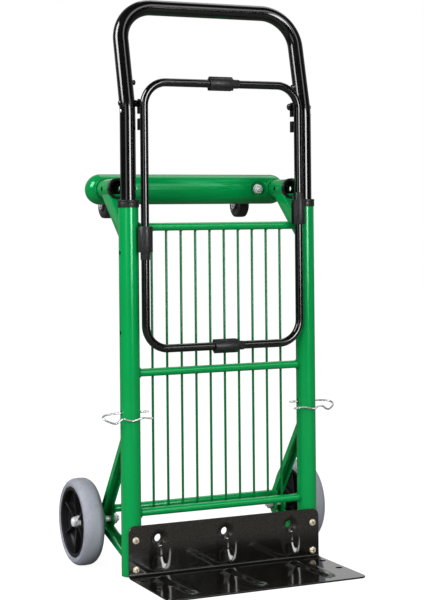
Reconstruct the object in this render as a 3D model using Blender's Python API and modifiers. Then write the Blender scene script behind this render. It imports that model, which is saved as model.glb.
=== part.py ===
"""Convertible hand truck: a tubular frame with a toe plate, two wheels and two castors,
a pull-out handle and a folding hoop that holds a bag.

Lengths are in millimetres until they reach a mesh. X runs to the right, the truck faces -Y
and Z is up. The uprights stand in the plane y = 0 of the row frame, and the floor is z = 0.
"""

import math

import bmesh
import bpy
from mathutils import Matrix, Vector

MM = 0.001
GAP = 0.35  # clearance that keeps neighbouring pieces apart

# Frame
TRACK = 158.0  # upright axis to the middle of the truck
UPRIGHT_R, UPRIGHT_WALL = 16.0, 1.5
UPRIGHT_FOOT, UPRIGHT_HEAD = 1.0, 594.7
PIN_HOLES = (260.0, 387.0, 514.0)
PIN_HOLE_R = 4.0
RAIL_R = 6.4
RAILS = {"deck_top_rail": 554.6, "deck_middle_rail": 322.4, "deck_bottom_rail": 99.8}
ROD_R, ROD_PITCH, ROD_COUNT = 2.0, 25.65, 10
ROD_FOOT, ROD_HEAD = 94.5, 560.0
BOLT_HEIGHTS = {"lower": 13.5, "upper": 59.5}
BOLT_R = 3.0

# Toe plate
PLATE = 2.6
PLATE_HALF, PLATE_HEIGHT, PLATE_FRONT = 170.0, 82.5, -179.5
PLATE_CORNER = 12.0
FLANGE_FRONT = -(UPRIGHT_R + GAP + PLATE)
RIB_X, RIB_HALF = 117.0, 16.5  # three pressed ribs, the outer two at +-RIB_X
CHANNEL_TOP, CHANNEL_FOOT, CHANNEL_DEPTH, CHANNEL_SKIN = 56.0, 14.0, 4.0, 2.0
RIB_BACK, RIB_FRONT, RIB_TIP, RIB_LIFT = -34.0, -146.0, 13.0, 3.0
CHANNEL_HOLE_R, CHANNEL_HOLE_Z = 6.5, 59.0
BASE_HOLES_Y, BASE_HOLE_R = (-53.0, -108.0), 5.5

# Wheels
WHEEL_X, AXLE_Y, WHEEL_R, WHEEL_HALF = 202.0, 112.0, 71.0, 17.5
HUB_R, AXLE_R = 57.0, 5.0
HUB_INNER, HUB_OUTER, CAP_END = 168.0, 206.0, 219.0
BRACKET_OUT, BRACKET_IN = 167.0, 149.0
BRACKET_DEPTH, BRACKET_WALL = 10.0, 2.2
CROSS_TUBE = (100.0, 89.8)

# Castor beam
BEAM_Y, BEAM_Z, BEAM_R, BEAM_WALL = 128.0, 617.0, 25.4, 2.0
SOCKET_FRONT, SOCKET_HOLE_Y = 46.5, 78.0
CASTOR_X = 125.0
CASTOR_Y, CASTOR_Z, CASTOR_R, CASTOR_HALF = 182.0, 590.7, 22.0, 10.0
DIMPLE_FLOOR = 108.6
STRUT_HALF, STRUT_DEPTH, STRUT_WALL = 13.0, 25.0, 2.0

# Handle and hoop
GRIP_R, GRIP_WALL = 12.6, 1.5
LEG_FOOT, KINK_Z = 263.5, 744.0
GRIP_Y, GRIP_Z, GRIP_CORNER = 40.0, 911.5, 58.0
COLLAR_R, COLLAR_BORE = 17.3, 13.0
HOOP_X, HOOP_Y, HOOP_R, HOOP_CORNER = 137.4, -19.0, 6.6, 38.0
HOOP_FOOT, HOOP_HEAD = 360.5, 785.2
PIVOT_Y, PIVOT_Z = 2.0, 752.0
STOP_Z, STOP_R, STOP_TIP = 786.0, 4.2, 141.2
CLIP_R, CLIP_NECK_R, CLIP_WIDE, CLIP_NECK = 10.0, 8.4, 41.0, 12.0
WIRE_R = 1.6

# The row frame centres the truck between the toe plate's edge and the castors.
REAR = CASTOR_Y + CASTOR_R
ROW_Y = -(PLATE_FRONT + REAR) / 2

SIDES = {"left": -1, "right": 1}

AXES = {
    "Z": Matrix.Identity(4),
    "-Z": Matrix.Rotation(math.pi, 4, "X"),
    "X": Matrix.Rotation(math.pi / 2, 4, "Y"),
    "-X": Matrix.Rotation(-math.pi / 2, 4, "Y"),
    "Y": Matrix.Rotation(-math.pi / 2, 4, "X"),
    "-Y": Matrix.Rotation(math.pi / 2, 4, "X"),
}


def clear_scene():
    for thing in list(bpy.data.objects):
        bpy.data.objects.remove(thing, do_unlink=True)


def new_collection(name):
    made = bpy.data.collections.new(name)
    bpy.context.scene.collection.children.link(made)
    return made


def new_material(name, colour, roughness, metallic):
    made = bpy.data.materials.new(name)
    made.use_nodes = True
    shader = made.node_tree.nodes["Principled BSDF"]
    shader.inputs["Base Color"].default_value = (*colour, 1)
    shader.inputs["Roughness"].default_value = roughness
    shader.inputs["Metallic"].default_value = metallic
    return made


clear_scene()
PARTS = new_collection("convertible_hand_truck")
CUTTERS = new_collection("cutters")
ROW = bpy.data.objects.new("row_frame", None)
ROW.location.y = ROW_Y * MM
PARTS.objects.link(ROW)
FINISHES = {
    "green": ((0.005, 0.30, 0.075), 0.25, 0.0),
    "black_paint": ((0.012, 0.012, 0.013), 0.2, 0.0),
    "black_plastic": ((0.02, 0.02, 0.021), 0.5, 0.0),
    "rubber": ((0.16, 0.165, 0.19), 0.6, 0.0),
    "zinc": ((0.6, 0.6, 0.6), 0.3, 1.0),
    "yellow_zinc": ((0.62, 0.55, 0.38), 0.35, 1.0),
}


# ---- building blocks -------------------------------------------------------------------


def finish(obj, look):
    """Adds the object to the parts with a material of its own."""
    colour, roughness, metallic = FINISHES[look]
    obj.data.materials.clear()
    obj.data.materials.append(new_material(f"{obj.name}_{look}", colour, roughness, metallic))
    PARTS.objects.link(obj)
    obj.parent = ROW
    return obj


def place(obj, at, axis="Z"):
    obj.matrix_basis = Matrix.Translation(Vector(at) * MM) @ AXES[axis]
    return obj


def cutter(obj):
    CUTTERS.objects.link(obj)
    obj.parent = ROW
    obj.hide_render = True
    obj.display_type = "WIRE"
    return obj


def combine(obj, other, operation="DIFFERENCE"):
    """Cuts with, joins on or keeps what is inside a helper object."""
    step = obj.modifiers.new(operation.title(), "BOOLEAN")
    step.operation, step.solver, step.object = operation, "EXACT", other
    return obj


def turned(name, profile, closed=False, steps=24):
    """A body turned round Z from (radius, height) points that run down its outer side."""
    count = len(profile)
    mesh = bpy.data.meshes.new(name)
    ends = [(i, (i + 1) % count) for i in range(count if closed else count - 1)]
    mesh.from_pydata([(r * MM, 0, z * MM) for r, z in profile], ends, [])
    obj = bpy.data.objects.new(name, mesh)
    screw = obj.modifiers.new("Screw", "SCREW")
    screw.steps = screw.render_steps = steps
    screw.use_merge_vertices = True
    screw.merge_threshold = 0.00001
    screw.use_smooth_shade = True
    return obj


def ring(name, outer, inner, low, high, steps=24):
    return turned(name, [(outer, high), (outer, low), (inner, low), (inner, high)], True, steps)


def pillar(name, radius, low, high, steps=16):
    return turned(name, [(0, high), (radius, high), (radius, low), (0, low)], False, steps)


def baked(name, curve):
    """The mesh of a curve, with its caps welded on."""
    guide = bpy.data.objects.new(name + "_guide", curve)
    bpy.context.scene.collection.objects.link(guide)
    graph = bpy.context.evaluated_depsgraph_get()
    mesh = bpy.data.meshes.new_from_object(guide.evaluated_get(graph))
    mesh.name = name
    bpy.data.objects.remove(guide, do_unlink=True)
    shape = bmesh.new()
    shape.from_mesh(mesh)
    bmesh.ops.remove_doubles(shape, verts=shape.verts, dist=0.000005)
    shape.to_mesh(mesh)
    shape.free()
    return bpy.data.objects.new(name, mesh)


def wire(name, path, radius, sides=12, cyclic=False, caps=True):
    """A round bar along a path of points."""
    curve = bpy.data.curves.new(name, "CURVE")
    curve.dimensions = "3D"
    curve.bevel_depth = radius * MM
    curve.bevel_resolution = (sides - 4) // 2
    curve.use_fill_caps = caps and not cyclic
    line = curve.splines.new("POLY")
    line.points.add(len(path) - 1)
    for point, spot in zip(line.points, path):
        point.co = (*(Vector(spot) * MM), 1)
    line.use_cyclic_u = cyclic
    obj = baked(name, curve)
    for face in obj.data.polygons:
        face.use_smooth = True
    return obj


def prism(name, outline, half, seen="X", offset=0.0):
    """A flat outline made solid. It is drawn as (y, z) for X, (x, z) for Y, (x, y) for Z."""
    curve = bpy.data.curves.new(name, "CURVE")
    curve.dimensions = "2D"
    curve.fill_mode = "BOTH"
    curve.extrude = half * MM
    line = curve.splines.new("POLY")
    line.points.add(len(outline) - 1)
    for point, (a, b) in zip(line.points, outline):
        point.co = (a * MM, b * MM, 0, 1)
    line.use_cyclic_u = True
    obj = baked(name, curve)
    turn = {
        "X": Matrix(((0, 0, 1, 0), (1, 0, 0, 0), (0, 1, 0, 0), (0, 0, 0, 1))),
        "Y": Matrix(((1, 0, 0, 0), (0, 0, -1, 0), (0, 1, 0, 0), (0, 0, 0, 1))),
        "Z": Matrix.Identity(4),
    }[seen]
    shift = {"X": (offset, 0, 0), "Y": (0, offset, 0), "Z": (0, 0, offset)}[seen]
    obj.data.transform(Matrix.Translation(Vector(shift) * MM) @ turn)
    return obj


def drill(name, holes):
    """One helper body of several round bars: (centre, axis, radius, length)."""
    shape = bmesh.new()
    for centre, axis, radius, length in holes:
        bmesh.ops.create_cone(
            shape, cap_ends=True, segments=12, radius1=radius * MM, radius2=radius * MM,
            depth=length * MM, matrix=Matrix.Translation(Vector(centre) * MM) @ AXES[axis],
        )
    mesh = bpy.data.meshes.new(name)
    shape.to_mesh(mesh)
    shape.free()
    return cutter(bpy.data.objects.new(name, mesh))


def nut(name, across, bore, low, high, at, axis):
    """A hexagon nut with a round bore, or a solid hexagon with no bore."""
    body = place(pillar(name, across / math.sqrt(3), low, high, 6), at, axis)
    if bore:
        hole = pillar(name + "_bore", bore, low - 5, high + 5)
        combine(body, cutter(place(hole, at, axis)))
    return body


def arc(centre, radius, start, end, steps):
    """Points (a, b) on an arc, in degrees from the first axis."""
    turns = [math.radians(start + (end - start) * i / steps) for i in range(steps + 1)]
    return [(centre[0] + radius * math.cos(t), centre[1] + radius * math.sin(t)) for t in turns]


def local(points, origin):
    """Points measured from a piece's own origin."""
    return [tuple(p - o for p, o in zip(point, origin)) for point in points]


# ---- frame -----------------------------------------------------------------------------


def make_upright(side, sign):
    at = (sign * TRACK, 0, 0)
    tube = ring(f"{side}_upright", UPRIGHT_R, UPRIGHT_R - UPRIGHT_WALL, UPRIGHT_FOOT, UPRIGHT_HEAD)
    holes = [((sign * TRACK, 0, z), "X", PIN_HOLE_R, 50) for z in PIN_HOLES]
    holes += [((sign * TRACK, 0, z), "Y", BOLT_R + GAP, 50) for z in BOLT_HEIGHTS.values()]
    combine(tube, drill(f"{side}_upright_holes", holes))
    finish(place(tube, at), "green")


def collar(name, head, skirt, sleeve):
    """A plastic bush on a tube's end. Its head is at z = head and its sleeve goes inside."""
    bore_r = UPRIGHT_R - UPRIGHT_WALL - 0.3
    step = head - 3
    return turned(name, [
        (COLLAR_R, head), (COLLAR_R, head - skirt), (UPRIGHT_R + 0.3, head - skirt),
        (UPRIGHT_R + 0.3, step), (bore_r, step), (bore_r, head - sleeve),
        (COLLAR_BORE, head - sleeve), (COLLAR_BORE, head),
    ], True, 20)


def make_deck():
    reach = TRACK - UPRIGHT_R - GAP
    for name, height in RAILS.items():
        finish(place(pillar(name, RAIL_R, -reach, reach), (0, 0, height), "X"), "green")
    for index in range(ROD_COUNT):
        x = (index - (ROD_COUNT - 1) / 2) * ROD_PITCH
        rod = pillar(f"deck_rod_{index + 1:02d}", ROD_R, ROD_FOOT, ROD_HEAD, 10)
        finish(place(rod, (x, RAIL_R + ROD_R + GAP, 0)), "green")


def offset_path(path, distance):
    """The path moved sideways by a distance, to its right as it runs."""
    moved = []
    for index, point in enumerate(path):
        before = Vector(path[max(index - 1, 0)])
        after = Vector(path[min(index + 1, len(path) - 1)])
        along = (after - before).normalized()
        moved.append((point[0] + along.y * distance, point[1] - along.x * distance))
    return moved


def make_wheel_bracket(side, sign):
    """A channel folded into a V, open towards the upright, with a boss round the axle."""
    middle = sign * (BRACKET_OUT + BRACKET_IN) / 2
    half = (BRACKET_OUT - BRACKET_IN) / 2
    nose = (AXLE_Y - 9, WHEEL_R + 1)
    path = [(0, 244.5), (nose[0] + 16.4, nose[1] + 11.4)]
    path += arc(nose, 20, 18, -62, 6) + [(0, 22.0)]
    web = offset_path(path, BRACKET_DEPTH)
    body = prism(f"{side}_wheel_bracket", path + web[::-1], half, "X", middle)
    for step, x in enumerate((BRACKET_OUT, BRACKET_IN)):
        cheek_x = sign * (x - BRACKET_WALL / 2 if step == 0 else x + BRACKET_WALL / 2)
        cheek = pillar(f"{side}_bracket_cheek_{step}", 13, -BRACKET_WALL / 2, BRACKET_WALL / 2)
        combine(body, cutter(place(cheek, (cheek_x, AXLE_Y - 4, WHEEL_R), "X")), "UNION")
    inner = offset_path(path, BRACKET_WALL)
    outer = offset_path(path, BRACKET_DEPTH + 22)
    groove = prism(f"{side}_bracket_groove", inner + outer[::-1], half - BRACKET_WALL, "X", middle)
    combine(body, cutter(groove))
    seat = pillar(f"{side}_bracket_seat", UPRIGHT_R + GAP, -10, 270, 24)
    combine(body, cutter(place(seat, (sign * TRACK, 0, 0))))
    holes = [((middle, AXLE_Y, WHEEL_R), "X", AXLE_R + 0.3, 60)]
    combine(body, drill(f"{side}_bracket_hole", holes))
    finish(body, "green")


def make_frame():
    for side, sign in SIDES.items():
        make_upright(side, sign)
        bush = collar(f"{side}_upright_collar", UPRIGHT_HEAD + 0.3 + 3, 12, 36)
        finish(place(bush, (sign * TRACK, 0, 0)), "black_plastic")
        make_wheel_bracket(side, sign)
    reach = BRACKET_IN - GAP
    tube = pillar("rear_cross_tube", RAIL_R, -reach, reach)
    finish(place(tube, (0, *CROSS_TUBE), "X"), "green")


# ---- toe plate -------------------------------------------------------------------------


def taper(obj, height, centre, keep):
    """Draws the points above a height in towards a centre, to keep times their distance."""
    for point in obj.data.vertices:
        if point.co.z > height * MM:
            for axis in (0, 1):
                middle = centre[axis] * MM
                point.co[axis] = middle + (point.co[axis] - middle) * keep[axis]
    return obj


def press_channel(plate, index, x):
    """A round-topped channel pushed back into the flange."""
    def outline(half, foot):
        return arc((x, CHANNEL_TOP), half, 180, 0, 8) + [(x + half, foot), (x - half, foot)]

    depth = PLATE - 1 + CHANNEL_DEPTH
    skin = prism(
        f"toe_channel_skin_{index}", outline(RIB_HALF + CHANNEL_SKIN, CHANNEL_FOOT - CHANNEL_SKIN),
        depth / 2, "Y", FLANGE_FRONT + 1 + depth / 2,
    )
    hollow = prism(
        f"toe_channel_hollow_{index}", outline(RIB_HALF, CHANNEL_FOOT),
        CHANNEL_DEPTH, "Y", FLANGE_FRONT,
    )
    combine(plate, cutter(skin), "UNION")
    combine(plate, cutter(hollow))


def press_rib(plate, index, x):
    """A low rib raised out of the base, with a round front end and leaning sides."""
    outline = [(x - RIB_HALF, RIB_BACK)] + arc((x, RIB_FRONT), RIB_TIP, 180, 360, 8)
    outline += [(x + RIB_HALF, RIB_BACK)]
    half = (RIB_LIFT + 1) / 2
    rib = prism(f"toe_rib_{index}", outline, half, "Z", PLATE - 1 + half)
    taper(rib, PLATE, (x, (RIB_BACK + RIB_FRONT) / 2), (0.82, 0.96))
    combine(plate, cutter(rib), "UNION")


def make_toe_plate():
    bend = 4.0
    corner = (FLANGE_FRONT - bend, PLATE + bend)
    outline = [(PLATE_FRONT, 0)] + arc(corner, bend + PLATE, -90, 0, 4)
    outline += [(FLANGE_FRONT + PLATE, PLATE_HEIGHT), (FLANGE_FRONT, PLATE_HEIGHT)]
    outline += arc(corner, bend, 0, -90, 4) + [(PLATE_FRONT, PLATE)]
    plate = prism("toe_plate", outline, PLATE_HALF)

    in_x, in_z = PLATE_HALF - PLATE_CORNER, PLATE_HEIGHT - PLATE_CORNER
    in_y = PLATE_FRONT + PLATE_CORNER
    front_view = [(-PLATE_HALF - 1, -5)] + arc((-in_x, in_z), PLATE_CORNER + 0.01, 180, 90, 5)
    front_view += arc((in_x, in_z), PLATE_CORNER + 0.01, 90, 0, 5) + [(PLATE_HALF + 1, -5)]
    top_view = [(-PLATE_HALF - 1, 5)] + arc((-in_x, in_y), PLATE_CORNER, 180, 270, 5)
    top_view += arc((in_x, in_y), PLATE_CORNER, 270, 360, 5) + [(PLATE_HALF + 1, 5)]
    combine(plate, cutter(prism("toe_plate_front_view", front_view, 250, "Y")), "INTERSECT")
    combine(plate, cutter(prism("toe_plate_top_view", top_view, 150, "Z")), "INTERSECT")

    holes = []
    for index, x in enumerate((-RIB_X, 0, RIB_X)):
        press_channel(plate, index, x)
        press_rib(plate, index, x)
        holes.append(((x, FLANGE_FRONT, CHANNEL_HOLE_Z), "Y", CHANNEL_HOLE_R, 30))
    for sign in SIDES.values():
        for z in BOLT_HEIGHTS.values():
            holes.append(((sign * TRACK, FLANGE_FRONT, z), "Y", BOLT_R + GAP, 20))
        for y in BASE_HOLES_Y:
            holes.append(((sign * TRACK, y, 0), "Z", BASE_HOLE_R, 20))
    combine(plate, drill("toe_plate_holes", holes))
    finish(plate, "black_paint")


def make_toe_bolts():
    front = -FLANGE_FRONT + GAP
    for side, sign in SIDES.items():
        for level, z in BOLT_HEIGHTS.items():
            name = f"{side}_toe_bolt_{level}"
            bolt = turned(name, [
                (0, front + 2.8), (3.6, front + 2.5), (5.6, front + 0.9), (5.6, front),
                (BOLT_R, front), (BOLT_R, -24), (0, -24),
            ], False, 16)
            at = (sign * TRACK, 0, z)
            lock = nut(name + "_nut", 10, 0, -21.5, -UPRIGHT_R - GAP, at, "-Y")
            combine(place(bolt, at, "-Y"), cutter(lock), "UNION")
            finish(bolt, "yellow_zinc")


# ---- wheels ----------------------------------------------------------------------------


def make_wheel(side, sign):
    """Tyre, ribbed hub, axle bolt and nut. Local +Z points away from the truck."""
    outward = "X" if sign > 0 else "-X"
    at = (sign * WHEEL_X, AXLE_Y, WHEEL_R)
    inside = HUB_R + GAP
    w = WHEEL_HALF
    tyre = turned(f"{side}_tyre", [
        (inside, w - 1.5), (60, w - 0.2), (64, w - 1), (68.5, w - 5.5), (WHEEL_R, 8),
        (WHEEL_R, -8), (68.5, -w + 5.5), (64, -w + 1), (60, -w + 0.2), (inside, -w + 1.5),
    ], True, 32)
    finish(place(tyre, at, outward), "rubber")

    boss_out, boss_in = HUB_OUTER - WHEEL_X, HUB_INNER - WHEEL_X
    hub = turned(f"{side}_wheel_hub", [
        (HUB_R, 16), (HUB_R, -16), (50.5, -16), (51.5, -2.5), (12.5, -2.5), (12.5, -17),
        (9, -17.5), (9, boss_in), (AXLE_R + 0.4, boss_in), (AXLE_R + 0.4, boss_out),
        (12.5, boss_out), (12.5, 2.5), (51.5, 2.5), (50.5, 16),
    ], True, 30)
    for index in range(3):
        spoke = bpy.data.meshes.new(f"{side}_hub_spokes_{index}")
        shape = bmesh.new()
        for end in (-1, 1):
            size = Matrix.Diagonal((40 * MM, 3 * MM, 26 * MM, 1))
            bmesh.ops.create_cube(shape, size=1, matrix=Matrix.Translation((end * 31.5 * MM, 0, 0)) @ size)
        bmesh.ops.rotate(shape, verts=shape.verts, matrix=Matrix.Rotation(math.radians(60 * index), 3, "Z"))
        shape.to_mesh(spoke)
        shape.free()
        ribs = bpy.data.objects.new(spoke.name, spoke)
        combine(hub, cutter(place(ribs, at, outward)), "UNION")
    finish(place(hub, at, outward), "black_plastic")

    base = (0, AXLE_Y, WHEEL_R)
    head = HUB_OUTER + GAP
    bolt = turned(f"{side}_axle_bolt", [
        (0, CAP_END), (4.4, CAP_END - 0.8), (7.4, CAP_END - 3.6), (7.4, head + 6.2),
        (8.6, head + 6.2), (8.6, head), (AXLE_R, head),
        (AXLE_R, 136.5), (0, 136.5),
    ], False, 16)
    finish(place(bolt, base, outward), "zinc")
    inside_face = BRACKET_IN - GAP
    lock = nut(f"{side}_axle_nut", 16, AXLE_R + 0.3, inside_face - 8, inside_face, base, outward)
    finish(lock, "zinc")


# ---- castor beam -----------------------------------------------------------------------


def capsule(name, radius, reach, steps):
    """A round bar with domed ends."""
    dome = arc((reach, 0), radius, 0, 90, 5)
    half = [(r, z) for z, r in dome]
    half[0] = (0, reach + radius)
    return turned(name, half + [(r, -z) for r, z in reversed(half)], False, steps)


def make_beam():
    at = (0, BEAM_Y, BEAM_Z)
    beam = capsule("castor_beam", BEAM_R, TRACK, 22)
    hollow = cutter(place(capsule("castor_beam_hollow", BEAM_R - BEAM_WALL, TRACK, 22), at, "X"))
    for side, sign in SIDES.items():
        centre = (sign * CASTOR_X, 0, BEAM_Z)
        cup = pillar(f"{side}_beam_cup", 18, 90, DIMPLE_FLOOR + BEAM_WALL)
        combine(hollow, cutter(place(cup, centre, "Y")))
        dimple = turned(f"{side}_beam_dimple", [(0, DIMPLE_FLOOR), (11.5, DIMPLE_FLOOR), (22, 95), (0, 95)])
        combine(beam, cutter(place(dimple, centre, "Y")))
    combine(beam, hollow)
    holes = [((sign * CASTOR_X, BEAM_Y, BEAM_Z), "Y", 5.2, 70) for sign in SIDES.values()]
    combine(beam, drill("castor_beam_holes", holes))
    finish(place(beam, at, "X"), "green")


def make_socket(side, sign):
    at = (sign * TRACK, 0, BEAM_Z)
    tube = ring(f"{side}_handle_socket", UPRIGHT_R, UPRIGHT_R - UPRIGHT_WALL, -125, -SOCKET_FRONT)
    bar = capsule(f"{side}_socket_seat", BEAM_R + GAP, TRACK, 22)
    combine(tube, cutter(place(bar, (0, BEAM_Y, BEAM_Z), "X")))
    holes = [((sign * TRACK, SOCKET_HOLE_Y, BEAM_Z), "X", PIN_HOLE_R, 50)]
    combine(tube, drill(f"{side}_socket_holes", holes))
    finish(place(tube, at, "-Y"), "green")
    bush = collar(f"{side}_socket_collar", -SOCKET_FRONT + 3.3, 6.5, 28)
    finish(place(bush, at, "-Y"), "black_plastic")


def make_strut(side, sign):
    """A box section from the back of the upright to the underside of the socket."""
    def outline(inset, extra):
        slope = Vector((70, 62)).normalized()
        across = Vector((-slope.y, slope.x))
        low = Vector((10, 536)) + across * inset
        high = low + across * (STRUT_DEPTH - 2 * inset)
        far = BEAM_Z + extra
        near = -extra
        points = []
        for base in (low, high):
            points.append(base + slope * ((near - base.x) / slope.x))
            points.append(base + slope * ((far - base.y) / slope.y))
        return [tuple(points[i]) for i in (0, 1, 3, 2)]

    strut = prism(f"{side}_castor_strut", outline(0, 0), STRUT_HALF, "X", sign * TRACK)
    core = prism(f"{side}_strut_core", outline(STRUT_WALL, 6), STRUT_HALF - STRUT_WALL, "X", sign * TRACK)
    combine(strut, cutter(core))
    post = pillar(f"{side}_strut_post", UPRIGHT_R + GAP, 480, 640, 24)
    combine(strut, cutter(place(post, (sign * TRACK, 0, 0))))
    tube_r, bush_r, bush_end = UPRIGHT_R + GAP, COLLAR_R + GAP, -SOCKET_FRONT - 4
    seat = turned(f"{side}_strut_seat", [
        (0, -20), (bush_r, -20), (bush_r, bush_end), (tube_r, bush_end), (tube_r, -140), (0, -140),
    ])
    combine(strut, cutter(place(seat, (sign * TRACK, 0, BEAM_Z), "-Y")))
    finish(strut, "green")


def make_castor(side, sign):
    x = sign * CASTOR_X
    stem_at = (x, 0, BEAM_Z)
    rear = BEAM_Y + BEAM_R + GAP
    stem = turned(f"{side}_castor_stem", [
        (0, rear + 9.4), (5, rear + 9.4), (6.5, rear + 8.4), (6.5, rear + 7.3), (4, rear + 7.3),
        (4, rear + 4.4), (10, rear + 4.4), (14, rear + 2.4), (14, rear), (4.8, rear),
        (4.8, 99.4), (4, 98.6), (0, 98.6),
    ], False, 16)
    finish(place(stem, stem_at, "Y"), "zinc")
    floor = DIMPLE_FLOOR - GAP
    finish(nut(f"{side}_castor_nut", 16, 5.1, floor - 6.5, floor, stem_at, "Y"), "zinc")

    crown = rear + 4.75
    fork_at = (x, crown, BEAM_Z)
    drop, back = CASTOR_Z - BEAM_Z, CASTOR_Y - crown
    fork = ring(f"{side}_castor_fork", 13.2, 4.35, 0, 2.2, 20)
    cheek = [(0, 11), (3, 11), (9, 3)] + [
        (y, z) for y, z in arc((back, drop), 7, 52, -128, 5)
    ] + [(2.2, -12), (0, -9)]
    for step in (-1, 1):
        plate = prism(f"{side}_fork_cheek_{step + 1}", cheek, 1.0, "X", step * (CASTOR_HALF + 2.2))
        combine(fork, cutter(place(plate, fork_at)), "UNION")
    combine(fork, drill(f"{side}_fork_hole", [((x, CASTOR_Y, CASTOR_Z), "X", 3.3, 40)]))
    finish(place(fork, fork_at, "Y"), "zinc")

    axle_at = (x, CASTOR_Y, CASTOR_Z)
    h = CASTOR_HALF
    wheel = turned(f"{side}_castor_wheel", [
        (3.4, h), (9, h), (9.5, h - 1.5), (15, h - 1.5), (16, h), (19.5, h - 0.6), (21.4, h - 2.6),
        (CASTOR_R, h - 6), (CASTOR_R, 6 - h), (21.4, 2.6 - h), (19.5, 0.6 - h), (16, -h),
        (15, 1.5 - h), (9.5, 1.5 - h), (9, -h), (3.4, -h),
    ], True, 20)
    finish(place(wheel, axle_at, "X"), "black_plastic")
    out = CASTOR_HALF + 3.2 + GAP
    axle = turned(f"{side}_castor_axle", [
        (0, out + 2), (4.2, out + 1.4), (4.6, out), (3, out), (3, -out), (4.6, -out),
        (4.2, -out - 1.4), (0, -out - 2),
    ], False, 12)
    finish(place(axle, axle_at, "X"), "zinc")


# ---- handle and hoop -------------------------------------------------------------------


def leg_lean():
    return math.atan2(GRIP_Y, GRIP_Z - KINK_Z)


def make_handle():
    """One bent tube: two legs, a slight lean above the kink, and the top grip."""
    lean = leg_lean()
    back = Vector((0, math.sin(lean), math.cos(lean)))
    kink = Vector((TRACK, 0, KINK_Z))
    reach = 110 * math.tan(lean / 2)
    right = [Vector((TRACK, 0, LEG_FOOT))]
    for index in range(4):
        turn = lean * index / 3
        right.append(kink + Vector((0, 110 * (1 - math.cos(turn)), -reach + 110 * math.sin(turn))))
    top = kink + back * ((GRIP_Z - KINK_Z) / math.cos(lean))
    centre = top - back * GRIP_CORNER - Vector((GRIP_CORNER, 0, 0))
    for index in range(9):
        turn = math.pi / 2 * index / 8
        outwards = Vector((GRIP_CORNER * math.cos(turn), 0, 0))
        right.append(centre + outwards + back * (GRIP_CORNER * math.sin(turn)))
    path = right + [Vector((-p.x, p.y, p.z)) for p in reversed(right)]
    handle = wire("handle", path, GRIP_R, 16, caps=False)
    wall = handle.modifiers.new("Wall", "SOLIDIFY")
    wall.thickness, wall.offset = GRIP_WALL * MM, -1
    stop_y = math.tan(lean) * (STOP_Z - KINK_Z)
    for side, sign in SIDES.items():
        stop = pillar(f"{side}_hoop_stop", STOP_R, STOP_TIP, 146.2, 12)
        at = (0, stop_y, STOP_Z)
        combine(handle, cutter(place(stop, at, "X" if sign > 0 else "-X")), "UNION")
    holes = [((sign * TRACK, PIVOT_Y, PIVOT_Z), "X", 3.3, 60) for sign in SIDES.values()]
    combine(handle, drill("handle_holes", holes))
    finish(handle, "black_paint")


def make_pivot_pin(side, sign):
    pin = turned(f"{side}_pivot_pin", [
        (0, 172.6), (4.5, 172.2), (4.5, 171.0), (3, 171.0), (3, 145.0), (5.6, 145.0),
        (5.6, 139.6), (3.9, 139.6), (3.9, 135.4), (5.6, 135.4), (5.6, 131.0), (4.6, 130.0), (0, 130.0),
    ], False, 14)
    finish(place(pin, (0, PIVOT_Y, PIVOT_Z), "X" if sign > 0 else "-X"), "black_paint")


def make_hoop():
    """The hoop turns on its pivot pins, so its origin is on their axis."""
    origin = (0, PIVOT_Y, PIVOT_Z)
    in_x, low, high = HOOP_X - HOOP_CORNER, HOOP_FOOT + HOOP_CORNER, HOOP_HEAD - HOOP_CORNER
    outline = arc((in_x, high), HOOP_CORNER, 0, 90, 6) + arc((-in_x, high), HOOP_CORNER, 90, 180, 6)
    outline += arc((-in_x, low), HOOP_CORNER, 180, 270, 6) + arc((in_x, low), HOOP_CORNER, 270, 360, 6)
    path = local([(x, HOOP_Y, z) for x, z in outline], origin)
    hoop = wire("bag_hoop", path, HOOP_R, 14, cyclic=True)
    upper = [(HOOP_Y, 747), (-3.5, 747), (-3.5, 735.5), (6.5, 735.5), (6.5, 745), (9.2, 752),
             (6.5, 758), (2, 759.5), (-4, 757.5), (HOOP_Y, 757.5)]
    lower = [(HOOP_Y, 709.5), (6.5, 709.5), (6.5, 728), (-3.5, 728), (-3.5, 714.5), (HOOP_Y, 714.5)]
    for side, sign in SIDES.items():
        for label, outline in (("upper", upper), ("lower", lower)):
            shape = [(y - PIVOT_Y, z - PIVOT_Z) for y, z in outline]
            tab = prism(f"{side}_hoop_hook_{label}", shape, 1.7, "X", sign * (HOOP_X + 0.1))
            combine(hoop, cutter(place(tab, origin)), "UNION")
    holes = [((sign * HOOP_X, PIVOT_Y, PIVOT_Z), "X", 4.25, 12) for sign in SIDES.values()]
    combine(hoop, drill("bag_hoop_holes", holes))
    finish(place(hoop, origin), "black_paint")


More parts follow.
